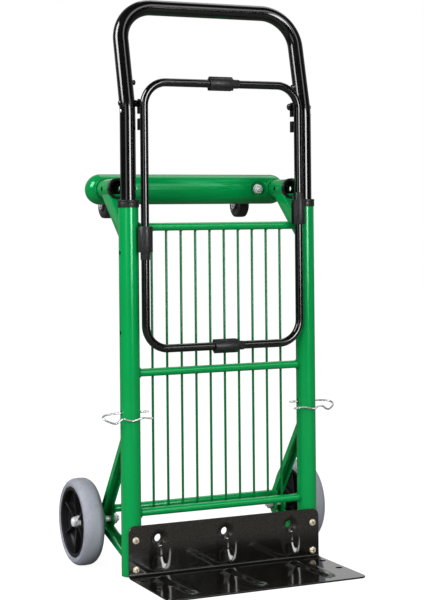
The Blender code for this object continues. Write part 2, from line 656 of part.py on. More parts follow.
def make_bag_clips():
    """Snap-on sleeves, slotted towards the middle of the hoop. Each has one narrow end."""
    low, neck = -CLIP_WIDE / 2, CLIP_WIDE / 2
    bore = HOOP_R + GAP
    spots = {  # centre of the wide part, way the narrow end points, way the slot opens
        "left": ((-HOOP_X, HOOP_Y, 535.0), "-Z", (1, 0, 0)),
        "right": ((HOOP_X, HOOP_Y, 576.5), "Z", (-1, 0, 0)),
        "top": ((-3.3, HOOP_Y, HOOP_HEAD), "X", (0, 0, -1)),
        "bottom": ((1.4, HOOP_Y, HOOP_FOOT), "X", (0, 0, 1)),
    }
    for name, (at, axis, inward) in spots.items():
        clip = turned(f"bag_clip_{name}", [
            (CLIP_NECK_R, neck + CLIP_NECK), (CLIP_NECK_R, neck + 0.8), (CLIP_R, neck - 0.8),
            (CLIP_R, low), (bore, low), (bore, neck + CLIP_NECK),
        ], True, 20)
        long_side = (80, 7, 14) if inward[2] else (14, 7, 80)
        slot = bpy.data.meshes.new(f"bag_clip_{name}_slot")
        shape = bmesh.new()
        size = Matrix.Diagonal((*(Vector(long_side) * MM), 1))
        bmesh.ops.create_cube(shape, size=1, matrix=size)
        shape.to_mesh(slot)
        shape.free()
        opening = bpy.data.objects.new(slot.name, slot)
        middle = [a + 9 * b for a, b in zip(at, inward)]
        combine(clip, cutter(place(opening, middle)))
        finish(place(clip, at, axis), "black_plastic")


def make_r_clip(side, sign):
    """A sprung wire: a straight leg through the upright and a wavy leg across its front."""
    z, y = PIN_HOLES[0], -(UPRIGHT_R + WIRE_R + 0.6)
    path = [(128, 0, z), (198, 0, z), (203, -2, z - 1.5), (206.5, -7, z - 5), (205, -13, z - 9),
            (200, -17, z - 11.5), (194, y, z - 12.5), (185, y, z - 15), (179, y, z - 13.5),
            (173, y, z - 10.5), (165, y, z - 11), (158, y, z - 13), (150, y, z - 13.5),
            (143, y, z - 11.5), (133, y, z - 11), (126, y, z - 12)]
    origin = (sign * TRACK, 0, z)
    points = local([(sign * a, b, c) for a, b, c in path], origin)
    clip = wire(f"{side}_r_clip", points, WIRE_R, 8)
    finish(place(clip, origin), "zinc")


# ---- the whole truck -------------------------------------------------------------------

make_frame()
make_deck()
make_toe_plate()
make_toe_bolts()
make_beam()
for side, sign in SIDES.items():
    make_socket(side, sign)
    make_strut(side, sign)
    make_castor(side, sign)
    make_wheel(side, sign)
make_handle()
make_hoop()
make_bag_clips()
for side, sign in SIDES.items():
    make_pivot_pin(side, sign)
    make_r_clip(side, sign)
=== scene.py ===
"""The looks of the convertible hand truck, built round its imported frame.

Shapes are drawn in millimetres in the frame of the uprights: X runs to the right, the truck
faces -Y, Z is up, and y = 0 is the plane of the uprights. Sizes and places come from the
boxes of the CAD nodes wherever a node has them.
"""

import math

import bmesh
import bpy
from mathutils import Matrix, Vector, noise


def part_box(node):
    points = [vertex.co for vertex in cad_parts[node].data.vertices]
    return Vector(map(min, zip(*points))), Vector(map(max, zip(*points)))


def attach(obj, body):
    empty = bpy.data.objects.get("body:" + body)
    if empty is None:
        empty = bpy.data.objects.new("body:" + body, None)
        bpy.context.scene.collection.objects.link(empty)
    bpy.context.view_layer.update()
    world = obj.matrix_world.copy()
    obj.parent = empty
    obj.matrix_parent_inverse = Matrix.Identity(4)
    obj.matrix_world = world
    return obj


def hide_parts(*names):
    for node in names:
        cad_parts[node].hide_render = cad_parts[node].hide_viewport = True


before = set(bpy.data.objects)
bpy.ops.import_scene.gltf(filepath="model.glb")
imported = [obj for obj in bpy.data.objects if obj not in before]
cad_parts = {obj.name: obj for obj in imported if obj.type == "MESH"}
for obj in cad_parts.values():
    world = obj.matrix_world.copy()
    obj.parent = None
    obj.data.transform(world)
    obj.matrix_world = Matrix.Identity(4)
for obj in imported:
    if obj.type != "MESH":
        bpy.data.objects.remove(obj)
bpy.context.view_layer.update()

MM = 0.001
ROW_Y = (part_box("left_upright")[0].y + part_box("left_upright")[1].y) / 2 / MM
TO_ROW = Matrix.Scale(MM, 4) @ Matrix.Translation((0, ROW_Y, 0))
SIDES = {"left": -1, "right": 1}
AXES = {
    "Z": Matrix.Identity(4),
    "X": Matrix.Rotation(math.pi / 2, 4, "Y"),
    "-X": Matrix.Rotation(-math.pi / 2, 4, "Y"),
    "Y": Matrix.Rotation(-math.pi / 2, 4, "X"),
    "-Y": Matrix.Rotation(math.pi / 2, 4, "X"),
}


def span(node):
    """The lowest and highest corner of a CAD node, in millimetres."""
    shift = Vector((0, ROW_Y, 0))
    return tuple(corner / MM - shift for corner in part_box(node))


def middle(node):
    low, high = span(node)
    return (low + high) / 2


def extent(node):
    low, high = span(node)
    return high - low


def reach_of(node):
    """How near to the middle plane of the truck a node comes, and how far from it."""
    low, high = span(node)
    return sorted((abs(low.x), abs(high.x)))


# ---- shapes ----------------------------------------------------------------------------

SAME_POINT = 0.001  # points nearer than this are one point
OFF_SEAM = Matrix.Rotation(math.radians(3), 4, "Z")  # turns a cutter's facets off the seams it meets


def arc(centre, radius, start, end, steps):
    """Points (a, b) on an arc, in degrees from the first axis."""
    turns = [math.radians(start + (end - start) * i / steps) for i in range(steps + 1)]
    return [(centre[0] + radius * math.cos(t), centre[1] + radius * math.sin(t)) for t in turns]


def ring(centre, radius, steps):
    """Points (a, b) all round a circle."""
    return arc(centre, radius, 0, 360, steps)[:-1]


def smoothstep(value):
    value = min(max(value, 0.0), 1.0)
    return value * value * (3 - 2 * value)


def rounded(points, radius, steps=4, closed=False):
    """The outline with its corners rounded, each by as much as its sides allow."""
    made = []
    last = len(points) - 1
    for index, point in enumerate(points):
        here = Vector(point)
        before = Vector(points[index - 1]) - here
        after = Vector(points[(index + 1) % len(points)]) - here
        if (not closed and index in (0, last)) or before.angle(after) > math.pi - 0.05:
            made.append(tuple(here))
            continue
        reach = radius / math.tan(before.angle(after) / 2)
        reach = min(reach, before.length * 0.45, after.length * 0.45)
        start, end = here + before.normalized() * reach, here + after.normalized() * reach
        for step in range(steps + 1):
            t = step / steps
            made.append(tuple(start * (1 - t) ** 2 + here * 2 * t * (1 - t) + end * t * t))
    return made


def place(shape, at, axis="Z"):
    shape.transform(Matrix.Translation(Vector(at)) @ AXES[axis])
    return shape


def bridge(shape, a, b):
    """Faces between two rings of points. A ring can be a single point."""
    count = max(len(a), len(b))
    for i in range(count):
        j = (i + 1) % count
        corners = (a[i % len(a)], a[j % len(a)], b[j % len(b)], b[i % len(b)])
        unique = list(dict.fromkeys(corners))
        if len(unique) > 2:
            shape.faces.new(unique)


def lathe(profile, steps, closed=False):
    """A body turned round Z from (radius, height) points."""
    shape = bmesh.new()
    rings = []
    for radius, height in profile:
        points = [(0, 0)] if radius < 1e-6 else ring((0, 0), radius, steps)
        rings.append([shape.verts.new((x, y, height)) for x, y in points])
    for a, b in zip(rings, rings[1:] + rings[:1] if closed else rings[1:]):
        bridge(shape, a, b)
    return shape


def turned(profile, edge, segments, steps, closed=False):
    """A lathe body whose profile has its corners rounded."""
    return lathe(rounded(profile, edge, segments, closed), steps, closed)


def mirrored(half):
    """Points (a, b), and then their mirror images in reverse order."""
    return half + [(a, -b) for a, b in reversed(half)]


def rod(radius, low, high, edge=0.6, steps=32):
    """A solid round bar with softened ends."""
    return turned([(0, high), (radius, high), (radius, low), (0, low)], edge, 3, steps)


def pipe(outer, inner, low, high, edge, steps, cuts=()):
    """A tube with softened ends. Cuts are heights where it gets an extra ring of points."""
    levels = sorted(h for h in cuts if low + 1 < h < high - 1)
    ends = rounded([(outer, low), (inner, low), (inner, high), (outer, high)], edge, 3, True)
    half = len(ends) // 2
    profile = ends[:half] + [(inner, h) for h in levels]
    profile += ends[half:] + [(outer, h) for h in reversed(levels)]
    return lathe(profile, steps, True)


def slab(outline, low, high, seen):
    """A flat outline made solid. It is drawn as (y, z) for X, (x, z) for Y, (x, y) for Z."""
    order = {"X": (2, 0, 1), "Y": (0, 2, 1), "Z": (0, 1, 2)}[seen]
    shape = bmesh.new()
    layers = []
    for level in (low, high):
        points = [(a, b, level) for a, b in outline]
        layers.append([shape.verts.new([point[i] for i in order]) for point in points])
        shape.faces.new(layers[-1])
    bridge(shape, *layers)
    bmesh.ops.recalc_face_normals(shape, faces=shape.faces)
    return shape


def hexagon(across, bore, low, high):
    """A nut whose corners are chamfered, with a round bore."""
    corner, flat, chamfer = across / math.sqrt(3), across * 0.49, 1.2
    outline = [
        (0, high), (flat, high), (corner + 0.3, high - chamfer), (corner + 0.3, low + chamfer),
        (flat, low), (0, low),
    ]
    cone = lathe(outline, 48)
    cone.transform(OFF_SEAM)
    body = boolean(slab(ring((0, 0), corner, 6), low, high, "Z"), cone, "INTERSECT")
    return boolean(body, rod(bore, low - 2, high + 2, 0.1))


def soften(shape, width, segments=2, above=30):
    """Bevels the edges that are sharper than an angle in degrees."""
    edges = [e for e in shape.edges if e.is_manifold and e.calc_face_angle() > math.radians(above)]
    bmesh.ops.bevel(
        shape, geom=edges, offset=width, segments=segments, profile=0.5, affect="EDGES",
        clamp_overlap=True,
    )
    return shape


def directions(path, cyclic):
    """The unit direction of a path at each of its points."""
    count = len(path)
    found = []
    for i in range(count):
        before = path[i - 1] if cyclic or i else path[i]
        after = path[(i + 1) % count] if cyclic or i < count - 1 else path[i]
        found.append((after - before).normalized())
    return found


def sweep(path, radius, sides, cyclic=False, dome=False):
    """A round bar along a path. The radius is a number, or a list with one for each point."""
    path = [Vector(p) for p in path]
    radii = radius if isinstance(radius, list) else [radius] * len(path)
    along = directions(path, cyclic)
    if dome:
        head, tail = [], []
        for turn in (0, 30, 60, 80):
            lean, shrink = math.cos(math.radians(turn)), math.sin(math.radians(max(turn, 12)))
            head.append((path[0] - along[0] * radii[0] * lean, radii[0] * shrink))
            tail.append((path[-1] + along[-1] * radii[-1] * lean, radii[-1] * shrink))
        path = [p for p, _ in head] + path + [p for p, _ in reversed(tail)]
        radii = [r for _, r in head] + radii + [r for _, r in reversed(tail)]
        along = directions(path, cyclic)
    shape = bmesh.new()
    side = along[0].orthogonal().normalized()
    rings = []
    for index, (point, way) in enumerate(zip(path, along)):
        if index:
            side = along[index - 1].rotation_difference(way) @ side
        side = (side - way * side.dot(way)).normalized()
        other = way.cross(side)
        outline = ring((0, 0), radii[index], sides)
        rings.append([shape.verts.new(point + side * a + other * b) for a, b in outline])
    for a, b in zip(rings, rings[1:] + rings[:1] if cyclic else rings[1:]):
        bridge(shape, a, b)
    if not cyclic:
        shape.faces.new(rings[0])
        shape.faces.new(rings[-1])
    return shape


def spline(points, steps=6):
    """A smooth path through points."""
    points = [Vector(p) for p in points]
    ends = [points[0] * 2 - points[1]] + points + [points[-1] * 2 - points[-2]]
    made = []
    for a, b, c, d in zip(ends, ends[1:], ends[2:], ends[3:]):
        for step in range(steps):
            t = step / steps
            made.append(
                b + (c - a) * (t / 2) + (a * 2 - b * 5 + c * 4 - d) * (t * t / 2)
                + (b * 3 - a - c * 3 + d) * (t ** 3 / 2)
            )
    return made + [points[-1]]


def resampled(path, pitch, cyclic):
    """The path with points an even pitch apart."""
    points = [Vector(p) for p in path]
    if cyclic:
        points.append(points[0])
    lengths = [0.0]
    for a, b in zip(points, points[1:]):
        lengths.append(lengths[-1] + (b - a).length)
    count = max(3, round(lengths[-1] / pitch))
    made, spot = [], 0
    for i in range(count if cyclic else count + 1):
        want = lengths[-1] * i / count
        while spot < len(points) - 2 and lengths[spot + 1] < want:
            spot += 1
        share = (want - lengths[spot]) / max(lengths[spot + 1] - lengths[spot], 1e-9)
        made.append(points[spot].lerp(points[spot + 1], share))
    return made


RIPPLE = 2.3  # distance between the ripples of a weld


def bead(path, radius, cyclic=False):
    """A weld bead: a low rope with ripples and an uneven width."""
    pitch = RIPPLE / 4
    points = resampled(path, pitch, cyclic)
    radii = []
    for index, point in enumerate(points):
        ripple = math.sin(2 * math.pi * index * pitch / RIPPLE)
        radii.append(radius * (1 + 0.11 * ripple + 0.22 * noise.noise(point * 0.21)))
    if not cyclic:
        for step in range(min(4, len(radii) // 2)):
            share = math.sqrt((step + 1) / 5)
            radii[step] *= share
            radii[-1 - step] *= share
    return sweep(points, radii, 10, cyclic, dome=not cyclic)


def as_mesh(shape, name="helper"):
    """Turns a drawn shape into a mesh, with its faces outwards, and frees the drawing."""
    bmesh.ops.recalc_face_normals(shape, faces=shape.faces)
    mesh = bpy.data.meshes.new(name)
    shape.to_mesh(mesh)
    shape.free()
    return mesh


def as_object(mesh, name="helper"):
    made = bpy.data.objects.new(name, mesh)
    bpy.context.scene.collection.objects.link(made)
    return made


def boolean(shape, tool, operation="DIFFERENCE"):
    """The shape with the tool cut from it, joined on or kept in common."""
    body, other = as_object(as_mesh(shape)), as_object(as_mesh(tool))
    step = body.modifiers.new("Boolean", "BOOLEAN")
    step.operation, step.solver, step.object = operation, "EXACT", other
    made = bmesh.new()
    made.from_object(body, bpy.context.evaluated_depsgraph_get())
    for thing in (body, other):
        bpy.data.meshes.remove(thing.data)
    return made


def join(*shapes):
    """Several shapes as one, with nothing cut."""
    whole = bmesh.new()
    for shape in shapes:
        mesh = as_mesh(shape)
        whole.from_mesh(mesh)
        bpy.data.meshes.remove(mesh)
    return whole


def piece(name, shape, look, body, *nodes, angle=35):
    """Puts a finished shape in the row frame on its body, in place of CAD nodes."""
    bmesh.ops.remove_doubles(shape, verts=shape.verts, dist=SAME_POINT)
    bmesh.ops.dissolve_degenerate(shape, edges=shape.edges, dist=SAME_POINT)
    mesh = as_mesh(shape, name)
    mesh.transform(TO_ROW)
    mesh.materials.append(look)
    mesh.shade_smooth()
    mesh.set_sharp_from_angle(angle=math.radians(angle))
    made = as_object(mesh, name)
    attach(made, body)
    if nodes:
        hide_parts(*nodes)


# ---- materials -------------------------------------------------------------------------


class Graph:
    """Adds nodes to a material or a world. An input is a value or another node's output."""

    def __init__(self, holder):
        holder.use_nodes = True
        self.nodes, self.links = holder.node_tree.nodes, holder.node_tree.links

    def feed(self, node, inputs):
        for key, value in inputs.items():
            if isinstance(value, bpy.types.NodeSocket):
                self.links.new(value, node.inputs[key])
            else:
                node.inputs[key].default_value = value

    def add(self, kind, inputs, output=0, **settings):
        node = self.nodes.new("ShaderNode" + kind)
        for name, value in settings.items():
            setattr(node, name, value)
        self.feed(node, inputs)
        return node.outputs[output] if node.outputs else None

    def maths(self, operation, first, second=0.5, **settings):
        return self.add("Math", {0: first, 1: second}, operation=operation, **settings)

    def along(self, way, direction):
        """How far a way points in a direction."""
        return self.add("VectorMath", {0: way, 1: direction}, "Value", operation="DOT_PRODUCT")

    def mix(self, share, first, second):
        """Two shaders, the second by its share."""
        return self.add("MixShader", {0: share, 1: first, 2: second})


class Look(Graph):
    """A node material that is built up layer by layer on one Principled shader."""

    def __init__(self, name, colour, roughness, metallic=0.0, coat=0.0):
        self.material = bpy.data.materials.new(name)
        super().__init__(self.material)
        self.place = self.add("TexCoord", {}, "Object")
        self.colour = self.add("RGB", {})
        self.colour.default_value = (*colour, 1)
        self.normal = None
        self.surface({
            "Base Color": self.colour, "Roughness": roughness, "Metallic": metallic,
            "Coat Weight": coat, "Coat Roughness": 0.13,
        })

    def surface(self, inputs):
        self.feed(self.nodes["Principled BSDF"], inputs)

    def noise(self, scale, detail=3.0, low=0.0, high=1.0, stretch=(1, 1, 1)):
        """A cloud pattern between 0 and 1, with its contrast set by the low and high marks."""
        spread = self.add("Mapping", {"Vector": self.place, "Scale": stretch})
        cloud = self.add("TexNoise", {"Vector": spread, "Scale": scale, "Detail": detail}, "Fac")
        return self.add("MapRange", {"Value": cloud, "From Min": low, "From Max": high})

    def above(self, low, high, mask):
        """The mask, faded in between two heights in millimetres."""
        fade = {"From Min": low * MM, "From Max": high * MM}
        fade["Value"] = self.add("SeparateXYZ", {0: self.place}, "Z")
        fade = self.add("MapRange", fade, interpolation_type="SMOOTHSTEP")
        return self.maths("MULTIPLY", fade, mask)

    def tint(self, mask, colour, amount):
        """Lays a second colour over the first where the mask is high."""
        share = self.maths("MULTIPLY", mask, amount)
        inputs = {"Factor": share, "A": self.colour, "B": (*colour, 1)}
        self.colour = self.add("Mix", inputs, "Result", data_type="RGBA")
        self.surface({"Base Color": self.colour})

    def rough(self, mask, low, high):
        """Roughness that goes from low to high with the mask."""
        spread = self.add("MapRange", {"Value": mask, "To Min": low, "To Max": high})
        self.surface({"Roughness": spread})

    def bump(self, mask, depth, strength=1.0):
        """Raises the surface by a depth in millimetres where the mask is high."""
        inputs = {"Strength": strength, "Distance": depth * MM, "Height": mask}
        if self.normal:
            inputs["Normal"] = self.normal
        self.normal = self.add("Bump", inputs)
        self.surface({"Normal": self.normal})

    def corners(self, reach):
        """A mask that is high in inside corners, used to paint shade there."""
        shade = self.add("AmbientOcclusion", {"Distance": reach * MM}, "AO", samples=4)
        return self.maths("SUBTRACT", 1.0, shade, use_clamp=True)


GREEN_GLINT = {"Specular Tint": (0.35, 1.0, 0.68, 1)}


def green_paint(name, depth=1.0, painted_streaks=0.0, coat=0.6, inside=0.0):
    """Glossy powder coat: even colour, a faint orange peel and painted shade in inside corners."""
    # a depth below 1 gives a darker copy of the same paint: painted shade
    look = Look(name, (0.0, 0.295 * depth, 0.062 * depth), 0.12, coat=coat)
    look.tint(look.noise(14, 4, 0.35, 0.7), (0.0, 0.335 * depth, 0.082 * depth), 0.45)
    # pale streaks along X: painted highlights
    if painted_streaks:
        look.tint(look.noise(60, 4, 0.56, 0.72, (0.12, 1, 1)), (0.03, 0.44, 0.16), painted_streaks)
    # painted shade in inside corners
    look.tint(look.corners(9), (0.0, 0.10, 0.02), 0.55)
    # painted shade deep inside bores
    if inside:
        look.tint(look.corners(60), (0.0, 0.006, 0.002), inside)
    look.rough(look.noise(60, 3, 0.3, 0.7), 0.11, 0.15)
    look.bump(look.noise(90, 1), 0.004)
    look.surface(GREEN_GLINT)
    return look.material


def weld_paint():
    """The same paint pooled over rough weld metal."""
    look = Look("green_paint_on_welds", (0.0, 0.215, 0.042), 0.22)
    look.tint(look.noise(300, 3, 0.4, 0.7), (0.0, 0.16, 0.03), 0.6)
    look.rough(look.noise(200, 3, 0.3, 0.7), 0.14, 0.3)
    look.bump(look.noise(900, 3), 0.08)
    look.surface(GREEN_GLINT)
    return look.material


def black_paint():
    """Deep gloss black on bent tube."""
    look = Look("black_gloss_paint", (0.0022, 0.0020, 0.0024), 0.1, coat=0.9)
    look.tint(look.noise(30, 4, 0.45, 0.75), (0.006, 0.006, 0.007), 0.5)
    look.rough(look.noise(90, 4, 0.3, 0.7), 0.12, 0.16)
    look.bump(look.noise(60, 1), 0.004)
    return look.material


def plate_paint():
    """Black enamel on pressed sheet, with specks of dust and a lighter speckled tone on the flange that is
    a painted reflection of the surroundings in front.
    """
    look = Look("black_enamel_plate", (0.0042, 0.0040, 0.0035), 0.1, coat=0.3)
    look.tint(look.noise(45, 6, 0.5, 0.8), (0.010, 0.009, 0.008), 0.5)
    look.tint(look.noise(2600, 1, 0.68, 0.75), (0.10, 0.10, 0.09), 0.35)
    # painted reflection on the flange, between 24 and 58 mm up
    look.tint(look.above(24, 58, look.noise(700, 2, 0.25, 0.75)), (0.046, 0.042, 0.037), 0.9)
    look.rough(look.noise(55, 5, 0.3, 0.75, (1, 3, 1)), 0.06, 0.13)
    look.bump(look.noise(30, 2), 0.10)
    look.bump(look.noise(260, 2), 0.006)
    return look.material


def satin_plastic(name, colour, roughness, grain=0.05, shine=0.5):
    """Moulded plastic with a fine spark-eroded grain."""
    look = Look(name, colour, roughness)
    lighter = tuple(c * 2.2 + 0.01 for c in colour)
    look.tint(look.noise(220, 4, 0.4, 0.75), lighter, 0.35)
    # painted shade in inside corners
    look.tint(look.corners(5), tuple(c * 0.3 for c in colour), 0.5)
    look.rough(look.noise(150, 3, 0.3, 0.7), roughness - 0.08, roughness + 0.1)
    look.bump(look.noise(1800, 2), grain)
    look.surface({"Specular IOR Level": shine})
    return look.material


def hub_plastic():
    """Black polypropylene with flow marks that run out from the boss."""
    look = Look("black_hub_plastic", (0.0075, 0.0075, 0.0085), 0.3)
    look.tint(look.noise(25, 5, 0.45, 0.8), (0.028, 0.028, 0.032), 0.5)
    # painted shade in inside corners
    look.tint(look.corners(6), (0.001, 0.001, 0.001), 0.6)
    look.rough(look.noise(90, 4, 0.3, 0.7), 0.3, 0.48)
    look.surface({"Specular IOR Level": 0.3})
    look.bump(look.noise(700, 2), 0.05)
    return look.material


def grey_rubber():
    """Grey non-marking rubber: matt, faintly blue, with moulding bloom and scuffs."""
    look = Look("grey_rubber", (0.285, 0.295, 0.345), 0.55)
    look.tint(look.noise(38, 6, 0.42, 0.72), (0.36, 0.375, 0.43), 0.6)
    look.tint(look.noise(170, 5, 0.6, 0.78), (0.16, 0.165, 0.19), 0.5)
    # painted shade in inside corners
    look.tint(look.corners(5), (0.06, 0.062, 0.075), 0.6)
    look.rough(look.noise(130, 3, 0.3, 0.7), 0.45, 0.68)
    look.bump(look.noise(900, 3), 0.07)
    look.bump(look.noise(60, 4), 0.12, 0.5)
    return look.material


def zinc_plate(name, colour, second, metal, recess_shade=0.6):
    """Bright zinc plate with a cloudy passivated film and painted shade in recesses and corners."""
    look = Look(name, colour, 0.25, metallic=metal)
    look.tint(look.noise(160, 5, 0.35, 0.75), second, 0.6)
    # painted shade in recesses and corners
    look.tint(look.corners(3), tuple(c * 0.4 * (1 - recess_shade) for c in colour), recess_shade)
    look.rough(look.noise(260, 4, 0.3, 0.7), 0.18, 0.4)
    look.bump(look.noise(1500, 2), 0.03)
    return look.material


GREEN = green_paint("green_gloss_paint")
# the beam: darker paint as painted shade, with painted highlight streaks
BEAM_SHADED_GREEN = green_paint("green_paint_on_beam_with_painted_light", depth=0.80, painted_streaks=0.5, coat=0.15)
# the sockets: slightly darker paint and shade deep in the bores, both painted shade
SOCKET_SHADED_GREEN = green_paint("green_paint_on_sockets_with_painted_shade", depth=0.95, coat=0.4, inside=1.0)
# the wires: the same paint at half brightness, as painted shade
WIRE_SHADED_GREEN = green_paint("green_paint_on_wires_with_painted_shade", depth=0.5, coat=0.3)
WELD = weld_paint()
BLACK = black_paint()
ENAMEL = plate_paint()
COLLAR = satin_plastic("black_collar_plastic", (0.012, 0.011, 0.012), 0.38)
CLIP = satin_plastic("charcoal_clip_plastic", (0.015, 0.015, 0.016), 0.40)
HOOK = satin_plastic("black_hook_paint", (0.004, 0.004, 0.004), 0.5, grain=0.02, shine=0.15)
ROLLER = satin_plastic("black_roller_plastic", (0.013, 0.013, 0.014), 0.45)
HUB = hub_plastic()
RUBBER = grey_rubber()
ZINC = zinc_plate("zinc_plate", (0.82, 0.83, 0.85), (0.55, 0.57, 0.62), 0.6)
CAP = zinc_plate("bright_zinc_cap", (0.95, 0.96, 0.97), (0.80, 0.82, 0.85), 0.35)
WIRE = zinc_plate("spring_wire", (0.80, 0.80, 0.81), (0.55, 0.56, 0.60), 0.8)
# full painted shade in the screws' cross recesses
YELLOW_ZINC = zinc_plate("yellow_zinc_plate", (1.0, 0.92, 0.72), (0.80, 0.64, 0.44), 0.45, recess_shade=1.0)

# ---- frame -----------------------------------------------------------------------------

TRACK = middle("right_upright").x
TUBE_R = extent("left_upright").x / 2
TUBE_WALL = 1.5
TUBE_BORE = TUBE_R - TUBE_WALL
TUBE_FOOT, TUBE_HEAD = span("left_upright")[0].z, span("left_upright")[1].z
PIN_FOOT, PIN_STEP = 260.0, 127.0
PIN_LEVELS = [PIN_FOOT + PIN_STEP * step for step in range(3)]
PIN_R, BOLT_R = 4.0, 3.3
RAIL_R = extent("deck_top_rail").z / 2
RAILS = ("deck_top_rail", "deck_middle_rail", "deck_bottom_rail")
RODS = [name for name in sorted(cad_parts) if name.startswith("deck_rod_")]
ROD_R = extent(RODS[0]).x / 2
BOLT_LEVELS = {level: middle(f"left_toe_bolt_{level}").z for level in ("lower", "upper")}
COLLAR_BORE = 13.0


def drills(holes):
    """Round cutters: (centre, axis, radius, length)."""
    made = []
    for centre, axis, radius, length in holes:
        drill = rod(radius, -length / 2, length / 2, 0.01)
        drill.transform(OFF_SEAM)
        made.append(place(drill, centre, axis))
    return join(*made)


def make_upright(side, sign):
    cuts = {z + step for z in PIN_LEVELS for step in (-7, 0, 7)}
    cuts |= {z + step for z in BOLT_LEVELS.values() for step in (-6, 0, 6)}
    cuts |= set(range(60, 590, 45))
    tube = pipe(TUBE_R, TUBE_BORE, TUBE_FOOT, TUBE_HEAD, 0.4, 64, cuts)
    holes = [((0, 0, z), "X", PIN_R, 50) for z in PIN_LEVELS]
    holes += [((0, 0, z), "Y", BOLT_R, 50) for z in BOLT_LEVELS.values()]
    tube = place(boolean(tube, drills(holes)), (sign * TRACK, 0, 0))
    piece(f"{side}_upright_tube", tube, GREEN, "frame", f"{side}_upright")


def collar_shape(head, skirt, sleeve):
    """A moulded bush on a tube's end, with a lip round its mouth."""
    radius = extent("left_upright_collar").x / 2
    outside, inside = TUBE_R + 0.25, TUBE_BORE - 0.3
    return turned([
        (radius - 0.5, head), (radius, head - 0.8), (radius, head - 3.4), (radius - 0.7, head - 3.9),
        (radius - 0.2, head - 4.6), (radius - 0.1, head - skirt), (outside, head - skirt),
        (outside, head - 3), (inside, head - 3), (inside, head - sleeve),
        (COLLAR_BORE, head - sleeve), (COLLAR_BORE, head - 1.2), (COLLAR_BORE + 0.8, head),
    ], 0.45, 3, 64, True)


def make_collars(side, sign):
    top = span(f"{side}_upright_collar")[1].z
    shape = place(collar_shape(top, 12, 36), (sign * TRACK, 0, 0))
    piece(f"{side}_upright_bush", shape, COLLAR, "frame", f"{side}_upright_collar")
    front = span(f"{side}_socket_collar")[0].y
    shape = place(collar_shape(-front, 6.5, 28), (sign * TRACK, 0, BEAM.z), "-Y")
    piece(f"{side}_socket_bush", shape, COLLAR, "frame", f"{side}_socket_collar")


def make_rails():
    reach = TRACK - TUBE_R + 2
    welds = []
    for node in RAILS:
        centre = middle(node)
        profile = [(RAIL_R, x) for x in (reach, *range(130, -131, -20), -reach)]
        bar = lathe([(0, reach)] + profile + [(0, -reach)], 40)
        piece(node + "_bar", place(bar, centre, "X"), GREEN, "frame", node)
        loop = ring((centre.y, centre.z), RAIL_R + 0.5, 48)
        for sign in SIDES.values():
            seam = [(sign * (TRACK - math.sqrt((TUBE_R + 0.3) ** 2 - a * a)), a, b) for a, b in loop]
            welds.append(bead(seam, 1.7, True))
    piece("rail_welds", join(*welds), WELD, "frame")


def make_rods():
    welds = []
    for node in RODS:
        low, high = span(node)
        x = (low.x + high.x) / 2
        half = (high.z - low.z) / 2
        bar = place(rod(ROD_R, -half, half, 0.7, 20), (low + high) / 2)
        piece(node + "_wire", bar, WIRE_SHADED_GREEN, "frame", node)
        for rail in RAILS:
            z = middle(rail).z
            for way in (-1, 1):
                seam = [(x + way * (ROD_R + 0.2), RAIL_R - 0.2, z + dz) for dz in (-2.4, 0, 2.4)]
                welds.append(bead(seam, 1.25))
            under = [(x + dx, 5.6 - abs(dx) * 0.2, z - 5.2 + abs(dx) * 0.15) for dx in (-4, 0, 4)]
            welds.append(bead(under, 1.9))
    piece("rod_welds", join(*welds), WELD, "frame")


def make_cross_tube():
    centre, size = middle("rear_cross_tube"), extent("rear_cross_tube")
    reach = size.x / 2 + 0.6
    bar = place(rod(size.z / 2, -reach, reach, 0.2, 40), centre, "X")
    piece("rear_cross_bar", bar, GREEN, "frame", "rear_cross_tube")
    loop = ring((centre.y, centre.z), RAIL_R + 0.4, 40)
    welds = [bead([(sign * (reach - 0.2), a, b) for a, b in loop], 1.6, True) for sign in SIDES.values()]
    piece("cross_bar_welds", join(*welds), WELD, "frame")


# ---- wheel brackets --------------------------------------------------------------------

AXLE = middle("left_tyre")
BRACKET_IN, BRACKET_OUT = reach_of("right_wheel_bracket")
BRACKET_DEPTH, BRACKET_WALL = 10.0, 2.2
BRACKET_HEAD, BRACKET_FOOT = 244.5, 22.0
NOSE_R = 20.0


def bracket_line(depth):
    """The side view of the bracket's bend, moved inwards by a depth: (y, z) points."""
    nose = Vector((AXLE.y - 9, AXLE.z + 1))
    ends = []
    for level, way in ((BRACKET_HEAD, -1), (BRACKET_FOOT, 1)):
        end = Vector((0, level))
        reach = end - nose
        turn = math.atan2(reach.y, reach.x) + way * math.acos(NOSE_R / reach.length)
        ends.append((end - Vector((math.cos(turn), math.sin(turn))) * depth, math.degrees(turn)))
    (top, start), (foot, stop) = ends
    return [tuple(top)] + arc(nose, NOSE_R - depth, start, stop, 16) + [tuple(foot)]


